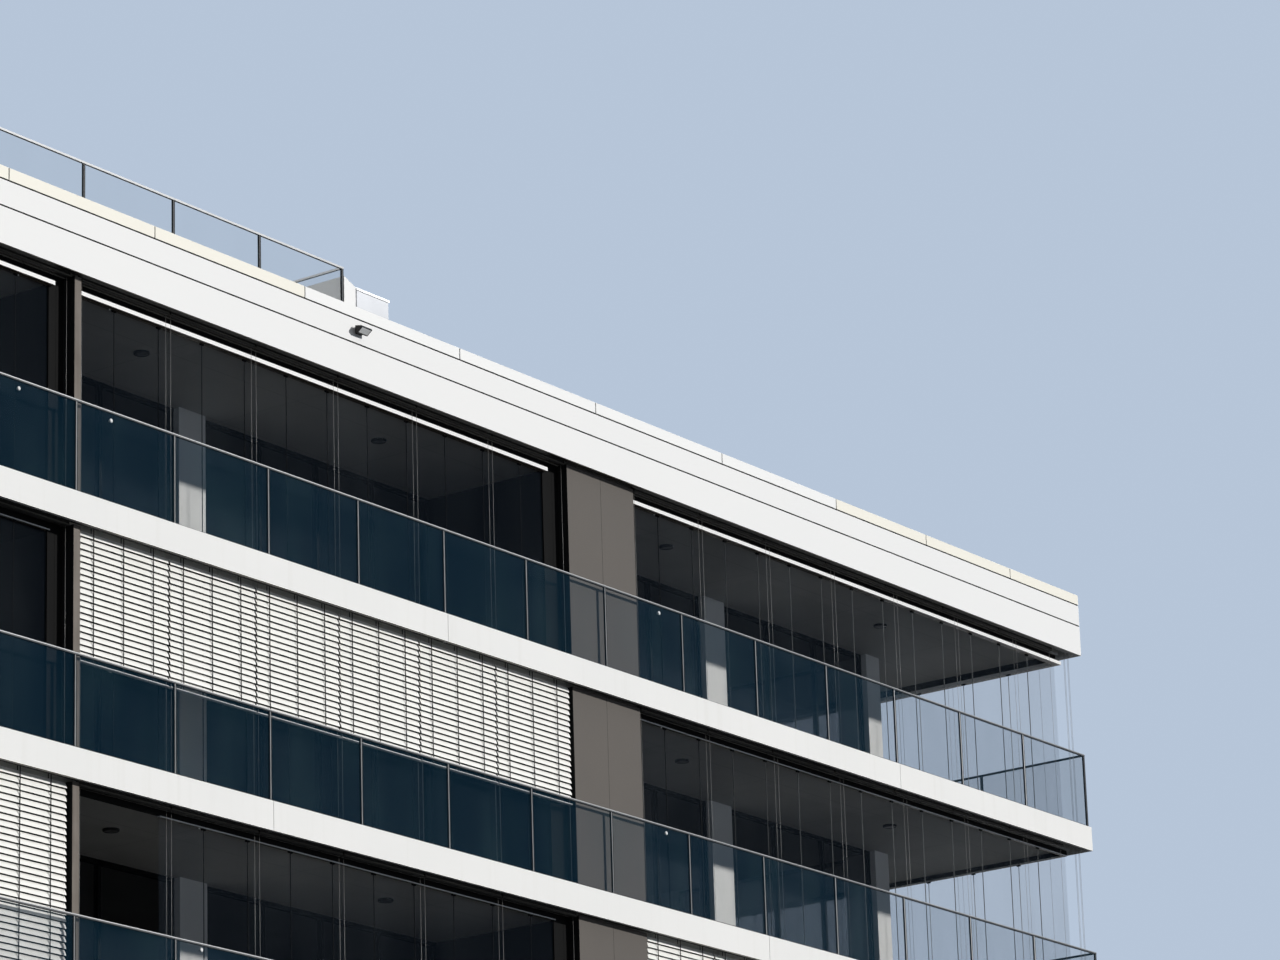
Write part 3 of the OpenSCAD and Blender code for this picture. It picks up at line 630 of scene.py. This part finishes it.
def brushed(name, colour, roughness, metallic):
    """Anodised metal: streaks drawn out along the length of the profile."""
    finish = Finish(name, colour, roughness, Metallic=metallic)
    streaks = finish.noise(1.0, 3.0, finish.stretched(3.0, 160.0, 160.0))
    duller = tuple(c * 0.86 for c in colour)
    finish.paint(streaks, duller, colour)
    finish.set("Roughness", streaks * 0.18 + (roughness - 0.06))
    finish.bump(streaks, 0.0001)
    return finish


dark_aluminium = coated("dark_aluminium", (0.005, 0.005, 0.005), 0.6, gloss=0.04)
white_aluminium = coated("white_aluminium", (0.89, 0.89, 0.88), 0.42)
head_rail = coated("head_rail_white", (0.89, 0.89, 0.88), 0.42)
wire_steel = brushed("wire_steel", (0.34, 0.33, 0.315), 0.4, 0.3)
coated("lamp_dark", (0.012, 0.012, 0.013), 0.5, gloss=0.2)
coated("floodlight_black", (0.01, 0.01, 0.011), 0.45, gloss=0.25)
blind_slat = coated("blind_slat", (0.85, 0.845, 0.81), 0.5, grain=300.0)

# %% [markdown]
# The handrail is mid grey, a little duller towards the corner. The lower half of its face gets dark
# painted shade. The upright profiles in the balustrade are dark grey in front, paler towards the
# corner, and near black on their flanks, as painted shade. Those of the terrace are dark, but for
# the bright end post. The white head rails of the glazing get brown painted shade on their undersides.

# %% Handrails and joint profiles
RAIL_SHADE_LOW, RAIL_SHADE_HIGH, RAIL_RUN, JOINT_RUN = 0.03, 0.01, 22.0, 12.0
END_STRIP, POST_STRIP = 0.08, 0.1
terrace_low, terrace_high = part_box("terrace_glass")
rail_tops = solid_boxes("handrails")[:, 1, 2]
rail_top = rail_tops[rail_tops < ceiling_z[TOP]].max() - floor_z[TOP]
handrail = brushed("handrail_metal", (0.4, 0.405, 0.41), 0.42, 0.2)
along_front = handrail.to_corner(RAIL_RUN).ramp((0.2, 0.0), (0.9, 1.0))
rail_tone = along_front * 0.85 + handrail.noise(0.9) * 0.15
rail_bright = handrail.mix(rail_tone, (0.45, 0.455, 0.46), (0.24, 0.245, 0.25))
rail_rise = (handrail.axis("Z") - floor_z[1]).repeat(storey_h) * storey_h
# Painted shade on the lower part of the handrail's face.
rail_shade = rail_rise.band(rail_top - RAIL_SHADE_LOW, rail_top - RAIL_SHADE_HIGH)
handrail.paint(rail_shade, rail_bright, (0.02, 0.022, 0.024))

joint = brushed("joint_metal", (0.14, 0.145, 0.15), 0.5, 0.1)
joint_on_end = joint.axis("X").size().above(RIGHT_X - END_STRIP)
# The flanks of the joint profiles get near-black painted shade.
joint_flank = (joint.facing("X").size() * (1.0 - joint_on_end)
               + joint.facing("Y").size() * joint_on_end).above(0.5)
joint_tone = joint.noise(2.5)
paler = joint.to_corner(JOINT_RUN).ramp((0.2, 0.0), (0.8, 1.0))
joint_face = joint.mix(joint_tone * 0.4 + paler * 0.6, (0.06, 0.063, 0.066), (0.5, 0.51, 0.52))
joint_low = joint.mix(joint_flank, joint_face, (0.02, 0.02, 0.021))
end_post = joint.axis("X").below(terrace_low.x + POST_STRIP)
joint_high = joint.mix(end_post, (0.03, 0.032, 0.034), (0.7, 0.71, 0.72))
on_terrace = joint.axis("Z").above(roof_z)
joint.paint(on_terrace, joint_low, joint_high)

rail_white = head_rail.mix(head_rail.noise(4.0), (0.88, 0.88, 0.87), (0.92, 0.92, 0.91))
# Brown painted shade on the undersides of the head rails.
underside_shade = head_rail.facing("Z").below(-0.5)
head_rail.paint(underside_shade, rail_white, (0.07, 0.055, 0.04))
print("handrail", round(rail_top, 3), "above the floor")

# %% [markdown]
# The vent is a folded sheet-metal box. Its lid is bright, and its sides are duller towards the foot.

# %% Vent metal
vent_low, vent_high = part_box("vent_box")
LID_H = 0.03
vent = brushed("vent_metal", (0.4, 0.41, 0.43), 0.5, 0.4)
vent_z = vent.axis("Z")
rise = (vent_z - vent_low.z) / (vent_high.z - vent_low.z)
# The sides are darker towards the foot, with some noise.
side_tone = vent.noise(3.0, 5.0) * 0.35 + rise * 0.65
vent_side = vent.mix(side_tone, (0.22, 0.225, 0.24), (0.52, 0.53, 0.55))
on_lid = vent_z.above(vent_high.z - LID_H)
vent.paint(on_lid, vent_side, (0.84, 0.84, 0.84))

# %% [markdown]
# A raised blind is one solid in the model: a pack of folded slats over a tan bottom rail. Its finish
# tells the two apart by height. The pack and the lower part of the rail get near-black painted shade,
# and the brightness of the rail's tan band, dim along some blinds and brighter along others, is
# painted light. All ceilings lie a whole number of storeys apart, so the distance below the ceiling
# comes from one repeating step, and the pack gets fine lines, one for each slat.

# %% Raised blinds
RAIL_TOP, RAIL_LOW = 0.001, 0.030
SLAT_STEP = 0.0075
pack = Finish("blind_rail", (0.16, 0.15, 0.125), 0.5, gloss=0.15)
height = pack.axis("Z")
below = 1.0 - (height - (ceiling_z[TOP] - storey_h)).repeat(storey_h)
rail_mask = (below * storey_h).band(RAIL_TOP, RAIL_LOW) * pack.facing("Z").above(-0.5)
slat_lines = height.repeat(SLAT_STEP).ramp((0.0, 0.0), (0.35, 1.0), (0.9, 0.9), (1.0, 0.0))
# Near-black painted shade on the pack and the rail's lower part; the tan band's spread is painted light.
pack_shade = pack.mix(slat_lines, (0.004, 0.004, 0.004), (0.012, 0.0115, 0.011))
rail_light_spread = pack.noise(0.7, 4.0).ramp((0.35, 0.0), (0.65, 1.0))
rail_colour = pack.mix(rail_light_spread, (0.07, 0.065, 0.054), (0.19, 0.175, 0.145))
pack.paint(rail_mask, pack_shade, rail_colour)
pack.bump(slat_lines * (1.0 - rail_mask), 0.002)

# %% [markdown]
# The roof deck is covered with round gravel. Voronoi cells make pebbles: the distance to the middle
# of a cell gives each its crown, and the cell's own random colour gives each its tone. The hollows
# between the pebbles get painted shade.

# %% Gravel
PEBBLES_PER_METRE = 34.0
gravel = Finish("roof_gravel", (0.4, 0.39, 0.37), 0.85)
crown = 1.0 - gravel.cells(PEBBLES_PER_METRE)
pebble_colour = gravel.cells(PEBBLES_PER_METRE, "Color")
pebble_tone = gravel.node("ShaderNodeSeparateColor", {0: pebble_colour})
gravel_colour = gravel.mix(pebble_tone, (0.26, 0.25, 0.235), (0.56, 0.55, 0.52))
# Painted shade in the hollows between the pebbles.
hollow_shade = crown.ramp((0.25, 1.0), (0.6, 0.0))
gravel.paint(hollow_shade, gravel_colour, (0.08, 0.078, 0.07))
gravel.bump(crown, 0.012)

# %% Give every CAD node its finish
OWN_FINISH = {
    "handrails": "handrail_metal", "balustrade_joints": "joint_metal",
    "terrace_glass": "terrace_glass", "head_rails": "head_rail_white",
}
for part in frame["record"]["subparts"]:
    finish = Finish.made[OWN_FINISH.get(part["node"], part["material_slot"])]
    for material_slot in nodes[part["node"]].material_slots:
        material_slot.material = finish.material

# %% [markdown]
# ## The lowered blinds
#
# An external venetian blind hangs from a head box in its slot. Its slats are 80 mm wide and crowned
# for stiffness. Three dark ladders of tape carry them, and a slim rail weights the bottom. The slats
# are turned nearly shut, outer edge down, so the sun lights each one. Seen from the street a dark
# line 20 mm high stays between two of them, which gives the tilt of 65 degrees. The top slat and the
# lowest one are placed as photographed, and the rest are spread evenly between them.
#
# One slat is a thin arc, turned by the tilt and carried along the blind.

# %% Slats, head boxes and bottom rails
SLAT_PITCH, SLAT_TILT, SLAT_CROWN, SLAT_T = 0.0755, math.radians(65), 0.006, 0.0016
TOP_SLAT, LOW_SLAT = 0.051, 0.095
RAIL_H, HEAD_H = 0.02, 0.075
blind_boxes = solid_boxes("lowered_blinds")
slat_w = blind_boxes[0, 1, 1] - blind_boxes[0, 0, 1] - 0.002


def slat_outline():
    """Closed crowned strip, tilted: across t from -1 to 1, the crown is SLAT_CROWN * (1 - t * t).

    The lower side is the same arc set back by the thickness, walked the other way.
    """
    t = np.linspace(-1, 1, 7)
    upper = np.stack([t * slat_w / 2, SLAT_CROWN * (1 - t * t)], axis=1)
    lower = upper[::-1] - [0.0, SLAT_T]
    outline = np.concatenate([lower[::-1], upper[::-1]])
    turn = np.array([[math.cos(SLAT_TILT), math.sin(SLAT_TILT)], [-math.sin(SLAT_TILT), math.cos(SLAT_TILT)]])
    return outline @ turn


lows, highs = blind_boxes[:, 0], blind_boxes[:, 1]
depth_y = (lows[:, 1] + highs[:, 1]) / 2
slat_parts = []
for low, high, y in zip(lows, highs, depth_y):
    top_z = max(z for z in ceiling_z if z < high[2]) - TOP_SLAT
    low_z = low[2] + LOW_SLAT
    z = np.linspace(low_z, top_z, round((top_z - low_z) / SLAT_PITCH) + 1)
    slat_parts.append(carry(slat_outline(), rows(low[0], y, z), rows(high[0], y, z), Y_WAY, Z_WAY))
slats = put("blind_slats", *joined(slat_parts), "blind_slat", blind_slat)
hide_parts("lowered_blinds")

rail_z, head_z = lows[:, 2] + RAIL_H / 2, highs[:, 2] - HEAD_H / 2
for name, outline, z, slot, finish in (
    ("blind_bottom_rails", bevelled(slat_w * 0.62, RAIL_H, 0.006), rail_z,
     "white_aluminium", white_aluminium),
    ("blind_head_boxes", bevelled(slat_w, HEAD_H - 0.004, 0.003), head_z, "dark_aluminium", dark_aluminium),
):
    bars = carry(outline, rows(lows[:, 0], depth_y, z), rows(highs[:, 0], depth_y, z), Y_WAY, Z_WAY)
    put(name, *bars, slot, finish)

# %% Ladder cords
LADDERS = (0.148, 0.484, 0.822)
CORD_W = 0.015
ladder_dark = coated("ladder_cord", (0.01, 0.01, 0.01), 0.8, gloss=0.15)
reach = slat_w / 2 * math.cos(SLAT_TILT) + 0.004
cord_parts = []
for side in (-1, 1):
    for share in LADDERS:
        x = lows[:, 0] + share * (highs[:, 0] - lows[:, 0])
        y = depth_y + side * reach
        cord_parts.append(carry(bevelled(CORD_W, 0.003, 0.0008), rows(x, y, lows[:, 2] + RAIL_H),
                                rows(x, y, highs[:, 2] - HEAD_H), X_WAY, Y_WAY))
put("blind_ladders", *joined(cord_parts), "dark_aluminium", ladder_dark)

# %% [markdown]
# ## Guide wires
#
# Each blind slides on a steel wire through each end of its slats, from the slot down to a small foot
# on the slab. Between two blinds the wires therefore stand in pairs. Two more pairs stand at each
# corner. In the photographed corner bay the pairs were measured, because the last blind before the
# corner is a narrow one there.

# %% Wires, feet and brackets
WIRE_R, WIRE_IN, FOOT_H = 0.002, 0.028, 0.035
CORNER_WIRES, CORNER_WIRE_RISE, WIRE_GAP = (0.13, 0.21), 0.2, 0.005
PAIR_STATIONS, PAIR_HALF = 1.624 + 1.594 * np.arange(6), 0.043
all_blinds = np.concatenate([solid_boxes("raised_blinds"), blind_boxes])
on_long_side = along_x(all_blinds)
wire_depth = depth_y[0] - FRONT_Y


def wire_places(boxes, axis):
    """X and Y of the wires just inside both ends of each blind that runs along the axis."""
    middle = boxes.mean(axis=1)[:, :2]
    ends = span(middle, axis, boxes[:, 0, axis] + WIRE_IN, boxes[:, 1, axis] - WIRE_IN)
    return np.concatenate(ends), np.tile(boxes[:, 1, 2], 2)


corner_xy = np.array([
    [sx * (RIGHT_X - a), sy * (-FRONT_Y - b)]
    for sx in (-1, 1) for sy in (-1, 1)
    for a, b in [(CORNER_WIRES[0], wire_depth), (CORNER_WIRES[1], wire_depth),
                 (wire_depth, CORNER_WIRES[0]), (wire_depth, CORNER_WIRES[1])]
])
long_xy, long_top = wire_places(all_blinds[on_long_side], 0)
in_bay = (long_xy[:, 0] > pier_high.x) & (long_xy[:, 1] < 0)
for z in np.unique(np.round(long_top[in_bay], 3)):
    row = np.flatnonzero(in_bay & (np.abs(long_top - z) < 0.001))
    row = row[np.argsort(-long_xy[row, 0])][1:-1]
    if len(row) == 2 * len(PAIR_STATIONS):
        long_xy[row, 0] = RIGHT_X - (PAIR_STATIONS[:, None] + [-PAIR_HALF, PAIR_HALF]).ravel()
short_xy, short_top = wire_places(all_blinds[~on_long_side], 1)
wire_xy = np.concatenate([long_xy, short_xy, np.tile(corner_xy, (TOP + 1, 1))])
corner_top = np.repeat(np.array(ceiling_z) + CORNER_WIRE_RISE, len(corner_xy))
wire_top = np.concatenate([long_top, short_top, corner_top])
storey_of = np.searchsorted(np.array(ceiling_z), wire_top - ABOVE_CEILING)
wire_base = np.column_stack([wire_xy, np.array(floor_z)[storey_of]])
wire_end = np.column_stack([wire_xy, wire_top - WIRE_GAP])
put("guide_wires", *carry(rounded(WIRE_R, 6), wire_base, wire_end, X_WAY, Y_WAY),
    "bright_aluminium", wire_steel, smooth=True)

foot_profile = np.array([[0.016, 0.0], [0.016, 0.006], [0.009, 0.012], [0.007, FOOT_H]])
put("wire_feet", *turned(foot_profile, wire_base, Z_WAY, 8), "bright_aluminium", wire_steel)
print("wires", len(wire_xy))

# %% [markdown]
# ## Seals, hinges and knobs of the glass leaves
#
# The leaves have no frames. A rubber seal closes the few millimetres between two of them. It is black,
# with a painted glint that grows towards the corner. Small dark hinges hold each leaf under the head
# rail. The leaf beside each party wall or pier has a round knob at hand height and a small white catch
# at its head.

# %% Seals between leaves
SEAL_W, SEAL_D = 0.007, 0.0135
HINGE_W, HINGE_H, HINGE_D = 0.03, 0.02, 0.0275
SEAL_GLINT_RUN, LEAST_LEAF, LEAF_GAP, IN_LINE = 10.5, 0.1, 0.01, 0.02
leaf_seal = Finish("leaf_seal", (0.02, 0.02, 0.02), 0.6, gloss=0.15)
cloudy = leaf_seal.noise(20.0, 3.0)
seal_dark = leaf_seal.mix(cloudy, (0.004, 0.004, 0.004), (0.008, 0.008, 0.008))
seal_glint = leaf_seal.mix(cloudy, (0.24, 0.25, 0.25), (0.32, 0.33, 0.33))
# The seals are black, with a painted glint towards the corner.
leaf_seal.paint(leaf_seal.to_corner(SEAL_GLINT_RUN).ramp((0.0, 0.0), (0.45, 1.0)), seal_dark, seal_glint)
leaf_sets = [solid_boxes(f"loggia_leaves_{k}") for k in range(TOP + 1)]


def leaf_joints(boxes, axis):
    """Places where one leaf ends close to the next, on the two sides that run along axis."""
    found = []
    middle = boxes.mean(axis=1)[:, 1 - axis]
    for face in (-np.abs(middle).max(), np.abs(middle).max()):
        row, station, gap = gaps(boxes[np.abs(middle - face) < IN_LINE], axis)
        place = np.zeros((len(gap), 3))
        place[:, axis], place[:, 1 - axis] = station, face
        found.append(place[gap < LEAF_GAP])
    return np.concatenate(found)


seal_parts, hinge_parts = [], []
for boxes in leaf_sets:
    bottom, top = boxes[0, 0, 2] * Z_WAY, boxes[0, 1, 2] * Z_WAY
    for axis, row in by_side(boxes):
        place = leaf_joints(row[row[:, 1, axis] - row[:, 0, axis] > LEAST_LEAF], axis)
        way, out = AXES[axis], AXES[1 - axis]
        seal_parts.append(carry(bevelled(SEAL_W, SEAL_D, 0.003), place + bottom, place + top, way, out))
        head = place + top - HINGE_H / 2 * Z_WAY
        hinge_parts.append(carry(bevelled(HINGE_D, HINGE_H, 0.004), head - way * HINGE_W,
                                 head + way * HINGE_W, out, Z_WAY))
put("leaf_seals", *joined(seal_parts), "dark_aluminium", leaf_seal)
put("leaf_hinges", *joined(hinge_parts), "dark_aluminium", dark_aluminium)

# %% Knobs and catches on the leaves beside piers and party walls
KNOB_H, KNOB_IN, LEFT_KNOB_IN, CATCH_DROP = 1.11, 0.085, 0.03, 0.012
KNOBLESS = 5
knob_profile = np.array([[0.012, 0.0], [0.012, 0.018], [0.024, 0.022], [0.027, 0.03], [0.023, 0.038],
                         [0.012, 0.041]])
catch_profile = np.array([[0.009, 0.0], [0.010, 0.003], [0.010, 0.009], [0.008, 0.011]])
knob_parts = []
for k, boxes in enumerate(leaf_sets):
    row = boxes[along_x(boxes)]
    for side in (-1, 1):
        face = row[np.sign(row[:, 0, 1]) == side]
        outer = np.abs(face[:, :, 1]).max() * side
        right_bay = face[face[:, 0, 0] > pier_high.x]
        middle_bay = face[(face[:, 0, 0] > PARTY_X) & (face[:, 1, 0] < pier_low.x)]
        left_bay = face[face[:, 1, 0] < PARTY_X]
        x = [
            right_bay[right_bay[:, 0, 0].argmin(), 1, 0] - KNOB_IN,
            middle_bay[middle_bay[:, 0, 0].argmin(), 1, 0] - KNOB_IN,
            left_bay[left_bay[:, 0, 0].argmax(), 0, 0] + LEFT_KNOB_IN,
        ]
        if k == KNOBLESS:
            x = x[:2]
        knobs = rows(np.array(x), outer, floor_z[k] + KNOB_H)
        catches = rows(np.array(x), outer, boxes[0, 1, 2] - CATCH_DROP)
        knob_parts.append(turned(knob_profile, knobs, side * Y_WAY, 16))
        knob_parts.append(turned(catch_profile, catches, side * Y_WAY, 12))
put("leaf_knobs", *joined(knob_parts), "white_aluminium", white_aluminium, smooth=True)

# %% [markdown]
# ## Window frames of the rooms
#
# The rooms have floor-to-ceiling windows. The model holds one sheet of glass from wall to wall. Here
# each sheet gets an aluminium frame all round and mullions about every 1.3 m.

# %% Frames
FRAME_W, FRAME_D, MULLION_EVERY = 0.055, 0.075, 1.3
frame_bar = bevelled(FRAME_W, FRAME_D, 0.004)
frame_parts = []
for low, high in solid_boxes("room_windows"):
    axis = 0 if high[0] - low[0] > high[1] - low[1] else 1
    middle = (low + high) / 2
    inner_low, inner_high = low + FRAME_W / 2, high - FRAME_W / 2
    count = max(1, round((high[axis] - low[axis]) / MULLION_EVERY))
    posts = np.tile(middle, (count + 1, 1))
    posts[:, axis] = np.linspace(inner_low[axis], inner_high[axis], count + 1)
    frame_parts.append(carry(frame_bar, *span(posts, 2, low[2], high[2]), AXES[axis], AXES[1 - axis]))
    for z in (inner_low[2], inner_high[2]):
        middle[2] = z
        ends = span(middle, axis, low[axis], high[axis])
        frame_parts.append(carry(frame_bar, *ends, Z_WAY, AXES[1 - axis]))
put("window_frames", *joined(frame_parts), "dark_aluminium", dark_aluminium)

# %% [markdown]
# ## Small fittings
#
# A dark gasket beds the foot of each balustrade pane, and a narrow dark seal runs up each side of
# its joint profiles. Black strips in the shadow grooves are painted shade, and black liners close the
# coping's joints. The lamps get a satin disc and the floodlight its lens. Square slabs with open
# joints pave the roof terrace.

# %% Gaskets under the balustrade panes
GASKET_W, GASKET_H = 0.032, 0.020
gasket = bevelled(GASKET_W, GASKET_H, 0.004)
gasket_parts = []
for node in ("balustrade_glass", "terrace_glass"):
    for axis, row in by_side(solid_boxes(node)):
        middle = row.mean(axis=1)
        middle[:, 2] = row[:, 0, 2] + GASKET_H / 2
        ends = span(middle, axis, row[:, 0, axis], row[:, 1, axis])
        gasket_parts.append(carry(gasket, *ends, AXES[1 - axis], Z_WAY))
put("glass_gaskets", *joined(gasket_parts), "dark_aluminium", dark_aluminium)

# %% Seals beside the upright joint profiles
EDGE_W, EDGE_DEPTH = 0.012, 0.022
strip = bevelled(EDGE_W, EDGE_DEPTH, 0.002)
joints = solid_boxes("balustrade_joints")
joints = joints[joints[:, 0, 2] < roof_z]
joint_size = joints[:, 1] - joints[:, 0]
on_end = joint_size[:, 1] < joint_size[:, 0] - 0.0005
joint_parts = []
for axis, row in ((0, joints[~on_end]), (1, joints[on_end])):
    for side, sign in ((0, -1), (1, 1)):
        middle = row.mean(axis=1)
        middle[:, axis] = row[:, side, axis] + sign * EDGE_W / 2
        ends = span(middle, 2, row[:, 0, 2], row[:, 1, 2])
        joint_parts.append(carry(strip, *ends, AXES[axis], AXES[1 - axis]))
put("joint_seals", *joined(joint_parts), "dark_aluminium", dark_aluminium)

# %% Painted shade in the shadow grooves, and liners in the coping's joints
LINER_IN, LINER_D = 0.003, 0.02
boards = solid_boxes("fascia_boards")
board_foot, board_top = (np.unique(np.round(boards[:, end, 2], 3)) for end in (0, 1))
coping_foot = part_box("roof_coping")[0].z
grooves = [(board_top[0], board_foot[1]), (board_top[1], coping_foot)]
y_in, x_in = -FRONT_Y - LINER_IN - LINER_D / 2, RIGHT_X - LINER_IN - LINER_D / 2
shade_and_joint_liners = []
# Painted shade: black strips in the shadow grooves.
for low_z, high_z in grooves:
    liner = bevelled(LINER_D, high_z - low_z, 0.001)
    mid_z = (low_z + high_z) / 2
    for s in (-1, 1):
        front = (-x_in, s * y_in, mid_z), (x_in, s * y_in, mid_z), Y_WAY
        end_side = (s * x_in, -y_in, mid_z), (s * x_in, y_in, mid_z), X_WAY
        shade_and_joint_liners += [carry(liner, *line, Z_WAY) for line in (front, end_side)]
for axis, row in by_side(solid_boxes("roof_coping")):
    other = 1 - axis
    for side in (-1, 1):
        line, station, gap = gaps(row[np.sign(row.mean(axis=1)[:, other]) == side], axis)
        middle = np.zeros((len(gap), 3))
        face = np.abs(line[:-1, :, other]).max(axis=1)
        middle[:, axis], middle[:, other] = station, side * (face - LINER_IN - LINER_D / 2)
        ends = span(middle, 2, coping_foot, roof_z - LINER_IN)
        liner = bevelled(float(gap.min()), LINER_D, 0.001)
        shade_and_joint_liners.append(carry(liner, *ends, AXES[axis], AXES[other]))
put("groove_shade_and_joint_liners", *joined(shade_and_joint_liners), "dark_aluminium", dark_aluminium)

# %% Lamp discs
lamps = solid_boxes("ceiling_lamps")
lamp_centres = lamps.mean(axis=1)
lamp_centres[:, 2] = lamps[:, 0, 2]
disc_profile = np.array([[0.020, 0.0020], [0.055, 0.0035], [0.080, 0.0060], [0.080, 0.0085]])
satin = Finish("satin_disc", (0.08, 0.08, 0.08), 0.55, gloss=0.3)
satin.paint(satin.noise(30.0), (0.06, 0.06, 0.06), (0.1, 0.1, 0.1))
put("lamp_discs", *turned(disc_profile, lamp_centres, Z_WAY, 24), "lamp_dark", satin, smooth=True)

# %% Floodlight lens
flood_low, flood_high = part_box("floodlight")
LENS_W, LENS_H, LENS_RISE, LENS_RUN = 0.17, 0.078, 0.062, 0.08
lens = Finish("floodlight_lens", (0.75, 0.77, 0.78), 0.15)
lens.paint(lens.axis("X").repeat(0.012), (0.6, 0.62, 0.63), (0.86, 0.87, 0.87))
flood_x = (flood_low.x + flood_high.x) / 2
face_top = np.array([flood_low.y, flood_low.z + LENS_RISE])
face_low = np.array([flood_low.y + LENS_RUN, flood_low.z])
face_mid = (face_top + face_low) / 2
face_up = (face_top - face_low) / np.linalg.norm(face_top - face_low)
put("floodlight_lens", *carry(bevelled(LENS_H, 0.006, 0.002),
                              (flood_x - LENS_W / 2, *face_mid), (flood_x + LENS_W / 2, *face_mid),
                              (0, *face_up), (0, -face_up[1], face_up[0])),
    "floodlight_black", lens)

# %% Terrace slabs
SLAB_STEP, SLAB_JOINT, SLAB_T, GLASS_CLEAR = 0.6, 0.006, 0.04, 0.12
paving = Finish("terrace_paving", (0.44, 0.43, 0.41), 0.75)
steps = paving.stretched(1 / SLAB_STEP, 1 / SLAB_STEP, 1.0)
slab = paving.node("ShaderNodeVectorMath", {0: steps}, operation="FLOOR")
slab_tone = paving.node("ShaderNodeTexWhiteNoise", {"Vector": slab}, "Value", noise_dimensions="2D")
speckle = paving.noise(90.0, 3.0)
paving.paint(slab_tone * 0.6 + speckle * 0.4, (0.36, 0.35, 0.33), (0.5, 0.49, 0.47))
paving.bump(speckle, 0.0008)


def slab_starts(low, high):
    """Multiples of the step between two walls of glass, clear of both."""
    first = math.ceil((low + GLASS_CLEAR) / SLAB_STEP)
    return np.arange(first, math.floor((high - GLASS_CLEAR) / SLAB_STEP)) * SLAB_STEP


slab_x, slab_y = (g.ravel() for g in np.meshgrid(slab_starts(terrace_low.x, terrace_high.x),
                                                 slab_starts(terrace_low.y, terrace_high.y)))
slab_z = deck_z + SLAB_T / 2
put("terrace_slabs", *carry(bevelled(SLAB_STEP - SLAB_JOINT, SLAB_T, 0.004),
                            rows(slab_x + SLAB_JOINT / 2, slab_y + SLAB_STEP / 2, slab_z),
                            rows(slab_x + SLAB_STEP - SLAB_JOINT / 2, slab_y + SLAB_STEP / 2, slab_z),
                            Y_WAY, Z_WAY), "roof_gravel", paving)

# %% [markdown]
# ## Floor, background and light
#
# The block stands on a plain pale floor that fades into the background far away, so that no horizon
# line shows. The world does two jobs: it lights the block softly, and rays that reach the camera
# directly or by a reflection see a pale blue-grey instead. Its light grows from the horizon up, so
# that little of it reaches the depth of a loggia. The floor is seen pale too, but it throws little
# light up, because the photo's undersides are nearly black.
#
# One soft sun from the front right lights the room walls up to 1.7 m above the floor, as in the
# photo. A weak one lights the back.

# %% Floor
BACKDROP = (0.47, 0.56, 0.69)
FLOOR_HALF, FADE_FROM, FADE_TO = 1500.0, 60.0, 260.0
FLOOR_BOUNCE = (0.022, 0.022, 0.0215)
ground = Finish("pale_floor", (0.6, 0.61, 0.62), 0.9)
pale = ground.mix(ground.noise(0.05, 2.0), (0.6, 0.61, 0.62), (0.64, 0.65, 0.66))
ground.paint(ground.seen_directly(), FLOOR_BOUNCE, pale)
flat = ground.node("ShaderNodeVectorMath", {0: ground.place}, "Value", operation="LENGTH")
fade = ((flat - FADE_FROM) / (FADE_TO - FADE_FROM)).ramp((0.0, 0.0), (1.0, 1.0))
far = ground.node("ShaderNodeEmission", {"Color": BACKDROP, "Strength": 1.0})
near = Signal(ground, ground.shader.outputs[0])
blended = ground.node("ShaderNodeMixShader", {0: fade, 1: near, 2: far})
ground.feed(ground.tree.nodes["Material Output"].inputs["Surface"], blended)
floor_mesh = bpy.data.meshes.new("pale_floor")
square = [(-1, -1), (1, -1), (1, 1), (-1, 1)]
floor_mesh.from_pydata([(x * FLOOR_HALF, y * FLOOR_HALF, 0) for x, y in square], [], [(0, 1, 2, 3)])
floor_mesh.materials.append(ground.material)
floor = bpy.data.objects.new("pale_floor", floor_mesh)
bpy.context.scene.collection.objects.link(floor)

# %% World and sun
LIGHT_COLOUR, HORIZON_LIGHT, ZENITH_LIGHT = (0.98, 0.99, 1.0), 0.03, 0.75
SUNS = {
    "front_sun": (Vector((0.42, -0.84, 0.336)), 3.0, math.radians(2)),
    "back_fill": (Vector((-0.45, 0.8, 0.4)), 1.5, math.radians(20)),
}
world = bpy.data.worlds.new("studio")
bpy.context.scene.world = world
world.use_nodes = True
world.node_tree.nodes.clear()
sky = Graph(world.node_tree)
way = sky.node("ShaderNodeTexCoord", output="Generated")
lift = sky.node("ShaderNodeSeparateXYZ", {0: way}, "Z").math("MAXIMUM", 0.0)
glow = lift * lift * (ZENITH_LIGHT - HORIZON_LIGHT) + HORIZON_LIGHT
light = sky.node("ShaderNodeBackground", {"Color": LIGHT_COLOUR, "Strength": glow})
backdrop = sky.node("ShaderNodeBackground", {"Color": BACKDROP, "Strength": 1.0})
choice = sky.node("ShaderNodeMixShader", {0: sky.seen_directly(), 1: light, 2: backdrop})
sky.feed(sky.tree.nodes.new("ShaderNodeOutputWorld").inputs["Surface"], choice)

for name, (direction, strength, angle) in SUNS.items():
    sun_data = bpy.data.lights.new(name, "SUN")
    sun_data.energy = strength
    sun_data.angle = angle
    sun_data.color = (1.0, 0.985, 0.96)
    sun = bpy.data.objects.new(name, sun_data)
    sun.rotation_mode = "QUATERNION"
    sun.rotation_quaternion = direction.to_track_quat("Z", "Y")
    bpy.context.scene.collection.objects.link(sun)

# %% [markdown]
# A look through the corner passes several panes, and each pane has two faces. Blender stops after
# eight transparent faces by default and shows black, so the limit goes up.

# %% Render limits and colour
bpy.context.scene.cycles.transparent_max_bounces = 32
bpy.context.scene.view_settings.view_transform = "Standard"
